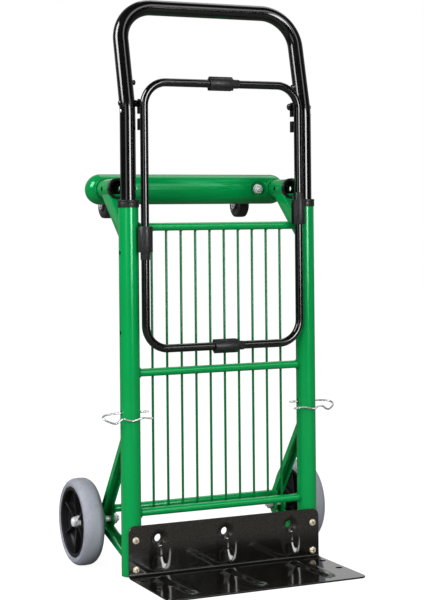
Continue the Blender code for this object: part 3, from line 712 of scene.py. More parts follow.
def make_bracket(side, sign):
    """A channel folded into a V from the upright round the axle."""
    low, high = sorted((sign * BRACKET_IN, sign * BRACKET_OUT))
    body = slab(bracket_line(0) + bracket_line(BRACKET_DEPTH)[::-1], low, high, "X")
    for x in (low, high - BRACKET_WALL):
        cheek = place(rod(13, 0, BRACKET_WALL, 0.1, 48), (x, AXLE.y - 4, AXLE.z), "X")
        body = boolean(body, cheek, "UNION")
    edge = bracket_line(BRACKET_WALL) + bracket_line(BRACKET_DEPTH + 4)[::-1]
    body = boolean(body, slab(edge, low + BRACKET_WALL, high - BRACKET_WALL, "X"))
    body = boolean(body, place(rod(TUBE_R - 0.6, -10, 270, 0.1, 64), (sign * TRACK, 0, 0)))
    axle = place(rod(5.3, low - 5, high + 5, 0.1, 32), (0, AXLE.y, AXLE.z), "X")
    body = boolean(body, axle)
    piece(f"{side}_bracket_channel", body, GREEN, "frame", f"{side}_wheel_bracket")

    welds = []
    for x in (low, high):
        y = math.sqrt(TUBE_R ** 2 - (abs(x) - TRACK) ** 2) + 0.6
        for ends in ((225, 243), (23, 42)):
            welds.append(bead([(x, y, z) for z in ends], 1.6))
    piece(f"{side}_bracket_welds", join(*welds), WELD, "frame")


# ---- castor beam -----------------------------------------------------------------------

BEAM = middle("castor_beam")
BEAM_R = extent("castor_beam").z / 2
CASTOR_X = middle("right_castor_stem").x
DIMPLE_FLOOR = 108.6
SOCKET_HOLE_Y = 78.0
STRUT_HALF, STRUT_DEPTH = extent("left_castor_strut").x / 2, 25.0
STRUT_FOOT = Vector((10.0, 536.0))
STRUT_SLOPE = Vector((70, 62)).normalized()


def capsule(radius, reach, steps):
    """A tube's outside with a half ball on each end."""
    dome = [(0, reach + radius)] + [(r, z) for z, r in arc((reach, 0), radius, 0, 90, 14)[1:]]
    levels = [(radius, z) for z in range(140, 0, -20)]
    return lathe(mirrored(dome + levels), steps)


def make_beam():
    beam = place(capsule(BEAM_R, TRACK, 72), BEAM, "X")
    outline = [(0, DIMPLE_FLOOR), (11.5, DIMPLE_FLOOR), (21, 96), (30, 80), (0, 80)]
    for sign in SIDES.values():
        dimple = turned(outline, 5, 6, 72)
        beam = boolean(beam, place(dimple, (sign * CASTOR_X, 0, BEAM.z), "Y"))
    piece("castor_beam_tube", soften(beam, 1.2, 3, 20), BEAM_SHADED_GREEN, "frame", "castor_beam", angle=40)


def make_sockets():
    welds = []
    cuts = [-SOCKET_HOLE_Y + step for step in (-7, 0, 7)]
    for side, sign in SIDES.items():
        front = span(f"{side}_handle_socket")[0].y
        tube = pipe(TUBE_R, TUBE_BORE, -BEAM.y, -front, 0.4, 64, cuts)
        tube = boolean(tube, drills([((0, 0, -SOCKET_HOLE_Y), "X", PIN_R, 50)]))
        tube = place(tube, (sign * TRACK, 0, BEAM.z), "-Y")
        piece(f"{side}_socket_tube", tube, SOCKET_SHADED_GREEN, "frame", f"{side}_handle_socket")
        seam = []
        for a, b in ring((0, 0), TUBE_R + 0.6, 64):
            y = BEAM.y - math.sqrt((BEAM_R + 0.4) ** 2 - b * b)
            seam.append((sign * TRACK + a, y, BEAM.z + b))
        welds.append(bead(seam, 2.2, True))
    piece("socket_welds", join(*welds), WELD, "frame")


def make_strut(side, sign):
    """A box section from the back of the upright to the underside of the socket."""
    across = Vector((-STRUT_SLOPE.y, STRUT_SLOPE.x)) * STRUT_DEPTH
    near, far = 7.0, BEAM.z - 9
    corners = []
    for edge, order in ((STRUT_FOOT, 1), (STRUT_FOOT + across, -1)):
        ends = [
            edge + STRUT_SLOPE * ((near - edge.x) / STRUT_SLOPE.x),
            edge + STRUT_SLOPE * ((far - edge.y) / STRUT_SLOPE.y),
        ]
        corners += ends[::order]
    x = sign * TRACK
    body = slab([tuple(c) for c in corners], x - STRUT_HALF, x + STRUT_HALF, "X")
    edges = [e for e in body.edges if abs(e.verts[0].co.x - e.verts[1].co.x) < 1]
    edges = [e for e in edges if e.calc_length() > 40]
    bmesh.ops.bevel(body, geom=edges, offset=3.2, segments=5, profile=0.5, affect="EDGES")
    piece(f"{side}_strut_box", body, GREEN, "frame", f"{side}_castor_strut")
    welds = []
    for corner in (corners[0], corners[3]):
        seam = []
        for step in range(-6, 7):
            dx = step / 6 * (STRUT_HALF - 3)
            y = math.sqrt((TUBE_R + 0.5) ** 2 - dx * dx)
            seam.append((x + dx, y, corner.y + (y - corner.x) * STRUT_SLOPE.y / STRUT_SLOPE.x))
        welds.append(bead(seam, 1.7))
    piece(f"{side}_strut_welds", join(*welds), WELD, "frame")


# ---- castors ---------------------------------------------------------------------------


def make_castor_stem(side, sign):
    """The kingpin through the beam, with its bearing, and the lock nut on the front."""
    low, high = span(f"{side}_castor_stem")
    end, tail, rear = high.y, low.y, BEAM.y + BEAM_R - 0.5
    at = (sign * CASTOR_X, 0, BEAM.z)
    stem = turned([
        (0, end), (5, end), (6.5, end - 1), (6.5, end - 2.1), (4, end - 2.1), (4, end - 5),
        (10, end - 5), (14, end - 7), (14, rear), (4.8, rear), (4.8, tail + 0.8), (4, tail), (0, tail),
    ], 0.5, 3, 48)
    piece(f"{side}_castor_kingpin", place(stem, at, "Y"), ZINC, "frame", f"{side}_castor_stem")
    low, high = span(f"{side}_castor_nut")
    seat = high.y
    washer = [(5, seat), (8.4, seat), (8.4, seat - 1.2), (5, seat - 1.2)]
    nut = join(hexagon(13.4, 5.1, low.y, seat - 1.0), turned(washer, 0.3, 2, 48, True))
    piece(f"{side}_castor_locknut", place(nut, at, "Y"), CAP, "frame", f"{side}_castor_nut")


def make_castor(side):
    """A bent fork with its wheel on a riveted pin."""
    body, node = f"{side}_castor", f"{side}_castor_wheel"
    crown = span(f"{side}_castor_fork")[0].y
    axle, size = middle(node), extent(node)
    drop, back = axle.z - BEAM.z, axle.y - crown
    r, half = size.z / 2, size.x / 2
    fork = place(turned([(4.35, 0), (13.2, 0), (13.2, 2.2), (4.35, 2.2)], 0.4, 2, 64, True), (0, 0, 0), "Y")
    outline = [(0, 11), (3, 11), (9, 3)] + arc((back, drop), 7, 52, -128, 12) + [(2.2, -12), (0, -9)]
    outline = rounded(outline, 2.5, 3, True)
    for x in (-half - 2.2, half + 2.2):
        fork = boolean(fork, slab(outline, x - 1.0, x + 1.0, "X"), "UNION")
    fork = boolean(fork, place(rod(3.3, -20, 20, 0.01, 32), (0, back, drop), "X"))
    fork = place(fork, (axle.x, crown, BEAM.z))
    piece(f"{side}_castor_yoke", fork, ZINC, body, f"{side}_castor_fork")

    out = half + 3.2
    head = [(0, out + 2), (4.2, out + 1.6), (4.6, out), (3, out)]
    pin = turned(mirrored(head), 0.5, 3, 32)
    piece(f"{side}_castor_rivet", place(pin, axle, "X"), ZINC, body, f"{side}_castor_axle")

    face = [
        (3.4, half), (8.6, half), (9.4, half - 1.8), (14.6, half - 1.8), (15.6, half - 0.2),
        (19.2, half - 0.3), (21.6, half - 1.8), (r, half - 5.4),
    ]
    wheel = turned(mirrored(face), 1.1, 4, 80, True)
    piece(f"{side}_castor_tread", place(wheel, axle, "X"), ROLLER, f"{side}_castor_roller", node)


# ---- wheels ----------------------------------------------------------------------------

WHEEL_R = extent("left_tyre").z / 2
WHEEL_HALF = extent("left_tyre").x / 2
HUB_R = extent("left_wheel_hub").z / 2
BOSS_R, BORE_R = 12.5, 5.4
SPOKES = 6
SHOULDER = 206.2  # how far out the axle's washer sits


def make_tyre(side, at, outward):
    """A solid rubber tyre: a rim lip, a full shoulder and a crowned tread with a mould line."""
    r, w, bead_r = WHEEL_R, WHEEL_HALF, HUB_R + 0.1
    half = [
        (bead_r, w - 2.2), (bead_r + 0.8, w - 0.6), (bead_r + 2.4, w - 0.1), (bead_r + 3.0, w - 0.8),
        (bead_r + 3.7, w), (bead_r + 7.5, w - 0.5), (r - 3.2, w - 3.4), (r - 1.1, w - 7.2),
        (r - 0.3, 6.0), (r - 0.2, 0.9), (r, 0.35),
    ]
    tyre = turned(mirrored(half), 2.0, 4, 128, True)
    piece(f"{side}_tyre_rubber", place(tyre, at, outward), RUBBER, f"{side}_wheel", f"{side}_tyre")


def make_hub(side, at, outward):
    """A deep moulded hub: rim, a stepped web, a boss and six ribs on each face."""
    inner, outer = (x - abs(at[0]) for x in reach_of(f"{side}_wheel_hub"))
    outer = min(outer, 4.0)
    rim = HUB_R
    hub = turned([
        (rim, 16), (rim - 2.0, 16.6), (rim - 5.2, 15.4), (rim - 6.6, 4.6), (47.5, 3.6), (46.6, 2.2),
        (18, 1.6), (15.5, 2.6), (BOSS_R, outer), (BORE_R, outer), (BORE_R, inner), (9, inner),
        (9, -16.5), (BOSS_R, -15.5), (15.5, -2.4), (46.6, -2.4), (rim - 6.6, -4.0),
        (rim - 5.2, -15.4), (rim, -16),
    ], 0.9, 3, 96, True)
    near, far = BOSS_R - 2, rim - 4.5
    for index in range(SPOKES // 2):
        ribs = []
        for half_turn in (math.pi, 0):
            rib = slab([(near, -9.5), (far, -13), (far, 13), (near, 9.5)], -1.25, 1.25, "Y")
            rib.transform(Matrix.Rotation(half_turn + 2 * math.pi / SPOKES * index, 4, "Z"))
            ribs.append(rib)
        hub = boolean(hub, join(*ribs), "UNION")
    hub = place(soften(hub, 0.35, 1, 45), at, outward)
    piece(f"{side}_hub_moulding", hub, HUB, f"{side}_wheel", f"{side}_wheel_hub")


def make_axle(side, outward):
    """The axle bolt with its shoulder nut and domed cap, and the lock nut inside the bracket."""
    tail, end = reach_of(f"{side}_axle_bolt")
    at = (0, AXLE.y, AXLE.z)
    face, cap = SHOULDER + 1.4, SHOULDER + 6.6
    shank = turned([
        (0, end), (4.4, end - 0.2), (7.6, end - 2.0), (8.5, cap), (5, cap), (5, tail + 0.8),
        (4.2, tail), (0, tail),
    ], 1.6, 5, 48)
    washer = turned([(5, SHOULDER), (10.5, SHOULDER), (10.5, face), (5, face)], 0.4, 2, 48, True)
    bolt = join(shank, washer, hexagon(15.5, 4.9, face, cap + 0.2))
    piece(f"{side}_axle_cap_bolt", place(bolt, at, outward), CAP, "frame", f"{side}_axle_bolt")
    nut = place(hexagon(16, 4.9, *reach_of(f"{side}_axle_nut")), at, outward)
    piece(f"{side}_axle_locknut", nut, ZINC, "frame", f"{side}_axle_nut")


# ---- toe plate -------------------------------------------------------------------------

PLATE_LOW, PLATE_HIGH = span("toe_plate")
PLATE = 2.6
PLATE_CORNER, PLATE_BEND, PLATE_EDGE = 12.0, 4.0, 0.45
FLANGE_FRONT = -(TUBE_R + 0.35 + PLATE)
RIBS_X, RIB_HALF, RIB_TIP = (-117.0, 0.0, 117.0), 16.0, 11.5
CHANNEL_TOP, CHANNEL_FOOT, CHANNEL_DEPTH = 56.0, 9.0, 4.4
RIB_BACK, RIB_FRONT, RIB_LIFT = -33.0, -147.0, 3.4
CHANNEL_HOLE_R, CHANNEL_HOLE_Z, DISH_DEPTH = 6.5, 59.0, 2.6
BASE_HOLES_Y, BASE_HOLE_R = (-53.0, -108.0), 5.5
GRID = 1.9


def slot_distance(a, b, foot, top, foot_half, top_half):
    """How deep a point is inside a slot with a round top, in millimetres from its edge."""
    share = min(max((b - foot) / (top - foot), 0.0), 1.0)
    half = foot_half + (top_half - foot_half) * share
    return half - math.hypot(a, max(b - top, 0.0))


def pressing(x, y, z, on_flange):
    """How far the sheet is pushed out towards the load at a point, in millimetres."""
    push = 0.0
    for centre in RIBS_X:
        if on_flange:
            inside = slot_distance(x - centre, z, CHANNEL_FOOT, CHANNEL_TOP, RIB_HALF, RIB_HALF + 0.8)
            fade = smoothstep((z - CHANNEL_FOOT + 1) / 24)
            push -= CHANNEL_DEPTH * smoothstep((inside + 1.0) / 13.0) * fade
            dish = CHANNEL_HOLE_R + 6.5 - math.hypot(x - centre, z - CHANNEL_HOLE_Z)
            push -= DISH_DEPTH * smoothstep(dish / 6.0)
        else:
            inside = slot_distance(x - centre, -y, -RIB_BACK, -RIB_FRONT, RIB_HALF, RIB_TIP)
            fade = smoothstep((RIB_BACK + 3 - y) / 16)
            push += RIB_LIFT * smoothstep((inside + 1.0) / 9.0) * fade
    return push


def half_width(reach):
    """Half the sheet's width at a distance from one of its ends, where the corners are round."""
    missing = PLATE_CORNER - min(reach, PLATE_CORNER)
    return PLATE_HIGH.x - PLATE_CORNER + math.sqrt(max(PLATE_CORNER ** 2 - missing ** 2, 0))


def plate_rows():
    """The middle line of the bent sheet: (y, z, normal y, normal z, on the flange, half width)."""
    rows = []
    bend_y, bend_z = FLANGE_FRONT - PLATE_BEND, PLATE + PLATE_BEND
    length, height = bend_y - PLATE_LOW.y, PLATE_HIGH.z - bend_z
    fine = [PLATE_CORNER * (1 - math.cos(math.radians(a))) for a in (0, 14, 26, 38, 50, 62, 75)]
    steps = round(length / GRID)
    for reach in fine + [PLATE_CORNER + (length - PLATE_CORNER) * i / steps for i in range(steps)]:
        rows.append((PLATE_LOW.y + reach, PLATE / 2, 0.0, 1.0, False, half_width(reach)))
    for step in range(9):
        turn = math.radians(90 * step / 8)
        across, up = math.sin(turn), math.cos(turn)
        middle_r = PLATE_BEND + PLATE / 2
        y, z = bend_y + middle_r * across, bend_z - middle_r * up
        rows.append((y, z, -across, up, step > 4, PLATE_HIGH.x))
    steps = round((height - PLATE_CORNER) / GRID)
    rises = [(height - PLATE_CORNER) * (i + 1) / steps for i in range(steps)]
    for rise in rises + [height - reach for reach in reversed(fine[:-1])]:
        y, z = FLANGE_FRONT + PLATE / 2, bend_z + rise
        rows.append((y, z, -1.0, 0.0, True, half_width(height - rise)))
    return rows


def skin(shape, lift):
    """One face of the pressed sheet as a grid of points, and the loop of points round it."""
    rows = plate_rows()
    columns = 2 * round(PLATE_HIGH.x / GRID)
    fixed = PLATE_HIGH.x - PLATE_CORNER - 3
    pulls = [PLATE_EDGE] + [0.0] * (len(rows) - 2) + [-PLATE_EDGE]
    grid = []
    for (y, z, ny, nz, on_flange, half), pull in zip(rows, pulls):
        line = []
        for column in range(columns + 1):
            x = (2 * column / columns - 1) * PLATE_HIGH.x
            if abs(x) > fixed:
                share = (abs(x) - fixed) / (PLATE_HIGH.x - fixed)
                x = math.copysign(fixed + (half - PLATE_EDGE - fixed) * share, x)
            push = pressing(x, y, z, on_flange) + lift
            line.append(shape.verts.new((x, y + ny * push + pull * nz, z + nz * push - pull * ny)))
        grid.append(line)
    for low, high in zip(grid, grid[1:]):
        for i in range(columns):
            shape.faces.new((low[i], low[i + 1], high[i + 1], high[i]))
    right = [line[-1] for line in grid[1:]]
    left = [line[0] for line in grid[-2:0:-1]]
    return grid[0] + right + grid[-1][-2::-1] + left


def make_toe_plate():
    """A bent sheet with pressed ribs, drawn as two skins and a softened edge round them."""
    shape = bmesh.new()
    load, floor = skin(shape, PLATE / 2), skin(shape, -PLATE / 2)
    outwards = []
    for i, (a, b) in enumerate(zip(load, floor)):
        way = load[(i + 1) % len(load)].co - load[i - 1].co
        outwards.append(way.cross(a.co - b.co).normalized())
    rings = [load]
    for share, bulge in ((0.22, 0.82), (0.5, 1.0), (0.78, 0.82)):
        rings.append([
            shape.verts.new(a.co.lerp(b.co, share) + out * PLATE_EDGE * bulge)
            for a, b, out in zip(load, floor, outwards)
        ])
    rings.append(floor)
    for a, b in zip(rings, rings[1:]):
        bridge(shape, a, b)
    holes = [((x, FLANGE_FRONT, CHANNEL_HOLE_Z), "Y", CHANNEL_HOLE_R, 40) for x in RIBS_X]
    for sign in SIDES.values():
        holes += [((sign * TRACK, FLANGE_FRONT, z), "Y", BOLT_R, 20) for z in BOLT_LEVELS.values()]
        holes += [((sign * TRACK, y, 0), "Z", BASE_HOLE_R, 20) for y in BASE_HOLES_Y]
    shape = boolean(shape, drills(holes))
    necks = []
    for x in RIBS_X:
        neck = pipe(CHANNEL_HOLE_R + 1.9, CHANNEL_HOLE_R - 0.15, -12.4, -4.8, 0.5, 48)
        necks.append(place(neck, (x, 0, CHANNEL_HOLE_Z), "Y"))
    piece("toe_plate_pressing", join(shape, *necks), ENAMEL, "frame", "toe_plate", angle=40)


def make_toe_bolt(side, sign, level):
    """A pan-head screw with a cross recess, and its nut behind the upright."""
    node = f"{side}_toe_bolt_{level}"
    low, high = span(node)
    front, back, seat = -low.y, -high.y, -FLANGE_FRONT
    screw = turned([
        (0, front), (3.0, front - 0.15), (5.0, front - 1.1), (5.6, seat + 0.6), (5.6, seat),
        (3, seat), (3, back + 0.6), (2.5, back), (0, back),
    ], 0.5, 4, 40)
    recess = [(-2.6, front - 2.6), (2.6, front - 2.6), (3.4, front + 1), (-3.4, front + 1)]
    for turn in (20, 110):
        arm = slab(recess, -0.85, 0.85, "Y")
        arm.transform(Matrix.Rotation(math.radians(turn), 4, "Z"))
        screw = boolean(screw, arm)
    screw = join(screw, hexagon(10, 2.9, -21.5, -TUBE_R + 0.2))
    screw = place(screw, (sign * TRACK, 0, BOLT_LEVELS[level]), "-Y")
    piece(f"{node}_screw", screw, YELLOW_ZINC, "frame", node)


# ---- handle ----------------------------------------------------------------------------

GRIP_R = 12.6
HANDLE_LOW, HANDLE_HIGH = span("handle")
GRIP_Y, GRIP_Z = HANDLE_HIGH.y - GRIP_R, HANDLE_HIGH.z - GRIP_R
KINK_Z, KINK_R, GRIP_CORNER = 744.0, 110.0, 58.0
LEAN = math.atan2(GRIP_Y, GRIP_Z - KINK_Z)
PIVOT = Vector((0, 2.0, 752.0))
STOP_Z, STOP_R, STOP_TIP = 786.0, 4.2, 141.2


def handle_path():
    """Up the right leg, round the grip and down the left leg."""
    back = Vector((0, math.sin(LEAN), math.cos(LEAN)))
    kink = Vector((TRACK, 0, KINK_Z))
    start = -KINK_R * math.tan(LEAN / 2)
    right = [Vector((TRACK, 0, z)) for z in (HANDLE_LOW.z, 400, 500, 600, 680)]
    for a, b in arc((KINK_R, start), KINK_R, 180, 180 - math.degrees(LEAN), 9):
        right.append(kink + Vector((0, a, b)))
    top = kink + back * ((GRIP_Z - KINK_Z) / math.cos(LEAN))
    centre = top - back * GRIP_CORNER - Vector((GRIP_CORNER, 0, 0))
    for a, b in arc((0, 0), GRIP_CORNER, 0, 90, 24):
        right.append(centre + Vector((a, 0, 0)) + back * b)
    return right + [Vector((-p.x, p.y, p.z)) for p in reversed(right)]


def make_handle():
    grip = sweep(handle_path(), GRIP_R, 48)
    stop_at = (0, math.tan(LEAN) * (STOP_Z - KINK_Z), STOP_Z)
    for axis in ("-X", "X"):
        grip = boolean(grip, place(rod(STOP_R, STOP_TIP, 148, 0.8), stop_at, axis), "UNION")
    piece("handle_tube", grip, BLACK, "handle", "handle")
    for side, axis in (("left", "-X"), ("right", "X")):
        tip, out = reach_of(f"{side}_pivot_pin")
        pin = turned([
            (0, out), (3, out - 0.2), (4.5, out - 1.4), (4.5, out - 2.2), (3, out - 2.2), (3, 145),
            (5.6, 145), (5.6, 139.6), (3.9, 139.6), (3.9, 135.4), (5.6, 135.4), (5.6, tip + 1.4),
            (4.2, tip), (0, tip),
        ], 0.6, 4, 40)
        piece(f"{side}_pivot_stud", place(pin, PIVOT, axis), BLACK, "handle", f"{side}_pivot_pin")
        rivet = turned([(0, 171.6), (2.4, 171.2), (3.6, 170.2), (3.6, 168), (0, 168)], 0.5, 4, 32)
        piece(f"{side}_leg_rivet", place(rivet, (0, 0, PIVOT.z - 13), axis), ZINC, "handle")


# ---- bag hoop --------------------------------------------------------------------------

HOOP_LOW, HOOP_HIGH = span("bag_hoop")
HOOP_R, HOOP_X, HOOP_CORNER = 6.6, 137.4, 38.0
HOOP_Y = HOOP_LOW.y + HOOP_R
HOOP_FOOT, HOOP_HEAD = HOOP_LOW.z + HOOP_R, HOOP_HIGH.z - HOOP_R
UPPER_HOOK = [
    (HOOP_Y, 747), (-3.5, 747), (-3.5, 735.5), (6.5, 735.5), (6.5, 745), (9.2, 752), (6.5, 758),
    (2, 759.5), (-4, 757.5), (HOOP_Y, 757.5),
]
LOWER_HOOK = [(HOOP_Y, 709.5), (6.5, 709.5), (6.5, 728), (-3.5, 728), (-3.5, 714.5), (HOOP_Y, 714.5)]


def make_hoop():
    x, low, high = HOOP_X - HOOP_CORNER, HOOP_FOOT + HOOP_CORNER, HOOP_HEAD - HOOP_CORNER
    outline = []
    for quarter, centre in enumerate(((x, high), (-x, high), (-x, low), (x, low))):
        outline += arc(centre, HOOP_CORNER, 90 * quarter, 90 * quarter + 90, 22)
    hoop = sweep([(a, HOOP_Y, b) for a, b in outline], HOOP_R, 40, cyclic=True)
    piece("bag_hoop_ring", hoop, BLACK, "bag_hoop", "bag_hoop")

    hooks = []
    for sign in SIDES.values():
        x = sign * (HOOP_X + 0.1)
        eye = place(rod(4.25, -12, 12, 0.01, 32), (x, PIVOT.y, PIVOT.z), "X")
        upper, lower = (
            slab(rounded(outline, 1.4, 3, True), x - 1.7, x + 1.7, "X")
            for outline in (UPPER_HOOK, LOWER_HOOK)
        )
        hooks += [soften(tab, 0.4, 2, 40) for tab in (boolean(upper, eye), lower)]
        for ends in ((747.6, 757), (710, 714)):
            for out in (-2.1, 2.1):
                hooks.append(bead([(x + out, HOOP_Y + HOOP_R - 0.6, z) for z in ends], 1.3))
    piece("bag_hoop_hooks", join(*hooks), HOOK, "bag_hoop")


# ---- bag clips -------------------------------------------------------------------------

CLIP_BORE, CLIP_R, CLIP_NECK_R, CLIP_NECK = 6.95, 10.0, 8.4, 12.0
CLIP_SLOT = 3.5
CLIP_TURNS = {
    # which way the slot faces, and which way the narrow end points
    "left": ((1, 0, 0), (0, 0, -1)),
    "right": ((-1, 0, 0), (0, 0, 1)),
    "top": ((0, 0, -1), (1, 0, 0)),
    "bottom": ((0, 0, 1), (1, 0, 0)),
}


def clip_section(outer, lip, fin):
    """A C that opens towards +Y, with lips at its mouth and a fin opposite. It is closed."""
    mouth_in = math.degrees(math.asin(CLIP_SLOT / CLIP_BORE))
    mouth_out = math.degrees(math.asin(CLIP_SLOT / outer))
    points = arc((0, 0), CLIP_BORE, 90 + mouth_in, 450 - mouth_in, 40)
    edge = []
    if lip:
        height = outer * math.cos(math.radians(mouth_out)) + lip
        edge = [(CLIP_SLOT, height), (CLIP_SLOT + 2.2, height), (CLIP_SLOT + 3.0, outer * 0.78)]
        mouth_out += 24
    points += edge
    for a, b in arc((0, 0), outer, 90 - mouth_out, mouth_out - 270, 44):
        if fin and b < -outer * 0.93 and abs(a) < 3.4:
            b -= fin * smoothstep((3.4 - abs(a)) / 1.6)
        points.append((a, b))
    return points + [(-a, b) for a, b in reversed(edge)]


def make_bag_clip(name, inward, along):
    """A snap-on sleeve with a slot towards the middle of the hoop and one narrow end."""
    node = f"bag_clip_{name}"
    centre, size = middle(node), extent(node)
    upright = name in ("left", "right")
    length = size.z if upright else size.x
    end = length / 2
    sleeve = soften(slab(clip_section(CLIP_R, 1.6, 1.7), -end, end - CLIP_NECK, "Z"), 0.6, 2, 50)
    neck = soften(slab(clip_section(CLIP_NECK_R, 0, 0), 4 - end, end, "Z"), 0.5, 2, 50)
    for point in neck.verts:
        beyond = point.co.z - (end - 3.5)
        if beyond > 0 and point.co.xy.length > CLIP_BORE + 0.5:
            point.co.xy *= 1 - 0.10 * smoothstep(beyond / 3.5)
    clip = join(sleeve, neck)
    second, third = Vector(inward), Vector(along)
    turn = Matrix((second.cross(third), second, third)).transposed().to_4x4()
    centre.y = HOOP_Y
    if upright:
        centre.x = math.copysign(HOOP_X, centre.x)
    else:
        centre.z = HOOP_HEAD if name == "top" else HOOP_FOOT
    clip.transform(Matrix.Translation(centre) @ turn)
    piece(f"{node}_sleeve", clip, CLIP, f"{name}_bag_clip", node)


# ---- retaining clips -------------------------------------------------------------------


def make_r_clip(side, sign):
    """A sprung wire: a straight leg through the upright and a wavy leg across its front."""
    low, high = span(f"{side}_r_clip")
    wire_r = 1.6
    z, y = high.z - wire_r, low.y + wire_r
    path = [
        (128, 0, 0), (150, 0, 0), (178, 0, 0), (195, 0, 1.2), (203, -1.2, 2.8), (206.3, -5, 5.6),
        (203.5, -10.5, 8.8), (197.5, -15, 11.8), (191, y, 13.8), (185.5, y, 12.2), (180.5, y, 8.4),
        (175, y, 7.6), (169, y, 9.6), (162, y, 11.4), (155, y, 10.2), (147, y, 8.0), (138, y, 8.0),
        (127, y, 9.2),
    ]
    wire = sweep(spline([(sign * a, b, z - drop) for a, b, drop in path]), wire_r, 20, dome=True)
    piece(f"{side}_r_clip_wire", wire, WIRE, f"{side}_retaining_clip", f"{side}_r_clip")


# ---- studio ----------------------------------------------------------------------------

TARGET = Vector((0, 0, 0.46))
CAMERA_AZIMUTH = math.radians(24.61)
CAMERA_AT = Vector((-1.0472, -2.2726, 0.5732))
PANELS = (
    # azimuth right of the camera, elevation, half width, half height (degrees), radiance
    (36.0, 3.0, 9.0, 16.0, 14.0),
    (50.0, 30.0, 9.0, 10.0, 2.4),
    (-24.0, 3.0, 9.0, 16.0, 1.5),
    (-68.0, 33.0, 15.0, 17.0, 13.0),
    (160.0, 52.0, 28.0, 13.4, 1.6),
    (180.0, 13.5, 25.0, 5.0, 0.75),
)
SOFTBOXES = {
    # azimuth, elevation (degrees), distance, width, height (metres), radiance
    "right_strip": (42, 15, 2.4, 0.52, 2.0, 9.5),
    "middle_strip": (-17, 16, 2.4, 0.32, 1.9, 4.6),
    "left_panel": (-66, 31, 2.6, 0.60, 1.6, 10.0),
    "overhead": (160, 52, 2.3, 1.5, 1.1, 0.9),
    "key": (-34, 14, 2.8, 2.2, 1.8, 2.2),
}


def softbox(name, azimuth, elevation, distance, width, height, radiance):
    """A panel light of a given brightness that faces the truck and shows in no reflection."""
    lamp = bpy.data.lights.new(name, "AREA")
    lamp.shape = "RECTANGLE"
    lamp.size, lamp.size_y = width, height
    lamp.energy = radiance * math.pi * width * height
    turn, lift = math.radians(azimuth) - CAMERA_AZIMUTH, math.radians(elevation)
    level = math.cos(lift)
    way = Vector((math.sin(turn) * level, -math.cos(turn) * level, math.sin(lift)))
    made = as_object(lamp, name)
    made.location = TARGET + way * distance
    made.rotation_euler = way.to_track_quat("Z", "Y").to_euler()
    made.visible_camera = False
    made.visible_glossy = False


def make_floor():
    """A pale floor. It looks near white to the camera and is a calmer grey in reflections."""
    shape = bmesh.new()
    bmesh.ops.create_grid(shape, x_segments=8, y_segments=8, size=14)
    floor = as_object(as_mesh(shape, "studio_floor"), "studio_floor")
    floor.location.z = -0.0004
    material = bpy.data.materials.new("studio_floor")
    graph = Graph(material)
    graph.nodes.clear()
    pale = graph.add("BsdfDiffuse", {"Color": (0.2, 0.2, 0.2, 1)})
    seen = graph.add("AddShader", {0: pale, 1: graph.add("Emission", {"Strength": 0.93})})
    grey = graph.add("BsdfDiffuse", {"Color": (0.14, 0.137, 0.128, 1)})
    to_camera = graph.add("LightPath", {}, "Is Camera Ray")
    graph.add("OutputMaterial", {"Surface": graph.mix(to_camera, grey, seen)})
    floor.data.materials.append(material)


def panel_strength(graph, way, azimuth, elevation, half_width, half_height, radiance):
    """The brightness of one rectangle of sky, given in degrees round the camera."""

    def near(value, centre, half, soft):
        away = graph.maths("ABSOLUTE", graph.maths("SUBTRACT", value, centre))
        inputs = {"Value": away, "From Min": half - soft, "From Max": half + soft}
        inputs |= {"To Min": 1.0, "To Max": 0.0}
        return graph.add("MapRange", inputs, interpolation_type="SMOOTHSTEP")

    turn = math.radians(azimuth) - CAMERA_AZIMUTH
    front = graph.along(way, (math.sin(turn), -math.cos(turn), 0.0))
    right = graph.along(way, (math.cos(turn), math.sin(turn), 0.0))
    bearing = graph.maths("ARCTAN2", right, front)
    height = graph.maths("ARCSINE", graph.along(way, (0.0, 0.0, 1.0)))
    across = near(bearing, 0.0, math.radians(half_width), 0.012)
    up = near(height, math.radians(elevation), math.radians(half_height), 0.03)
    return graph.maths("MULTIPLY", graph.maths("MULTIPLY", across, up), radiance)


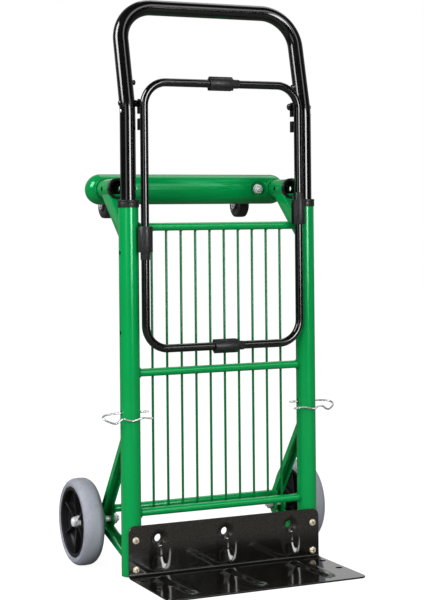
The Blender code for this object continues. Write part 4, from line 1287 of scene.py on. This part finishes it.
def make_world():
    """White behind the truck for the camera; in reflections bright behind and dim in front."""
    world = bpy.data.worlds.new("studio")
    bpy.context.scene.world = world
    graph = Graph(world)
    graph.nodes.clear()
    way = graph.add("TexCoord", {}, "Generated")
    ahead = graph.along(way, (math.sin(CAMERA_AZIMUTH), math.cos(CAMERA_AZIMUTH), 0.0))
    ramp = {"Value": ahead, "From Min": 0.0, "From Max": 0.9, "To Min": 0.02, "To Max": 0.32}
    total = graph.add("MapRange", ramp, interpolation_type="SMOOTHSTEP")
    for panel in PANELS:
        total = graph.maths("ADD", total, panel_strength(graph, way, *panel))
    side = graph.along(way, (-0.90, -0.42, 0.0))
    fall = graph.add("MapRange", {"Value": side, "From Min": -1.0, "To Min": 0.22, "To Max": 0.95})
    mirrored, soft = (graph.add("Background", {"Strength": strength}) for strength in (total, fall))
    lit = graph.mix(graph.add("LightPath", {}, "Is Glossy Ray"), soft, mirrored)
    white = graph.add("Background", {"Strength": 1.0, "Color": (1, 1, 1, 1)})
    seen = graph.mix(graph.add("LightPath", {}, "Is Camera Ray"), lit, white)
    graph.add("OutputWorld", {"Surface": seen})


def make_camera():
    lens = bpy.data.cameras.new("camera")
    lens.lens = 91.51
    lens.shift_y = -0.1421
    lens.clip_start, lens.clip_end = 0.05, 60
    camera = as_object(lens, "camera")
    level = Matrix.Rotation(-CAMERA_AZIMUTH, 4, "Z") @ Matrix.Rotation(math.pi / 2, 4, "X")
    roll = Matrix.Rotation(math.radians(-0.53), 4, "Z")
    camera.matrix_world = Matrix.Translation(CAMERA_AT) @ level @ roll
    bpy.context.scene.camera = camera


# ---- the whole truck -------------------------------------------------------------------

make_rails()
make_rods()
make_cross_tube()
make_beam()
make_sockets()
for side, sign in SIDES.items():
    make_upright(side, sign)
    make_collars(side, sign)
    make_bracket(side, sign)
    make_strut(side, sign)
    make_castor_stem(side, sign)
    make_castor(side)
    hub_at = (sign * abs(AXLE.x), AXLE.y, AXLE.z)
    away = "X" if sign > 0 else "-X"
    make_tyre(side, hub_at, away)
    make_hub(side, hub_at, away)
    make_axle(side, away)
    make_r_clip(side, sign)
    for level in BOLT_LEVELS:
        make_toe_bolt(side, sign, level)
make_toe_plate()
make_handle()
make_hoop()
for name, turns in CLIP_TURNS.items():
    make_bag_clip(name, *turns)

make_floor()
make_world()
for name, settings in SOFTBOXES.items():
    softbox(name, *settings)
make_camera()
bpy.context.scene.view_settings.view_transform = "Standard"
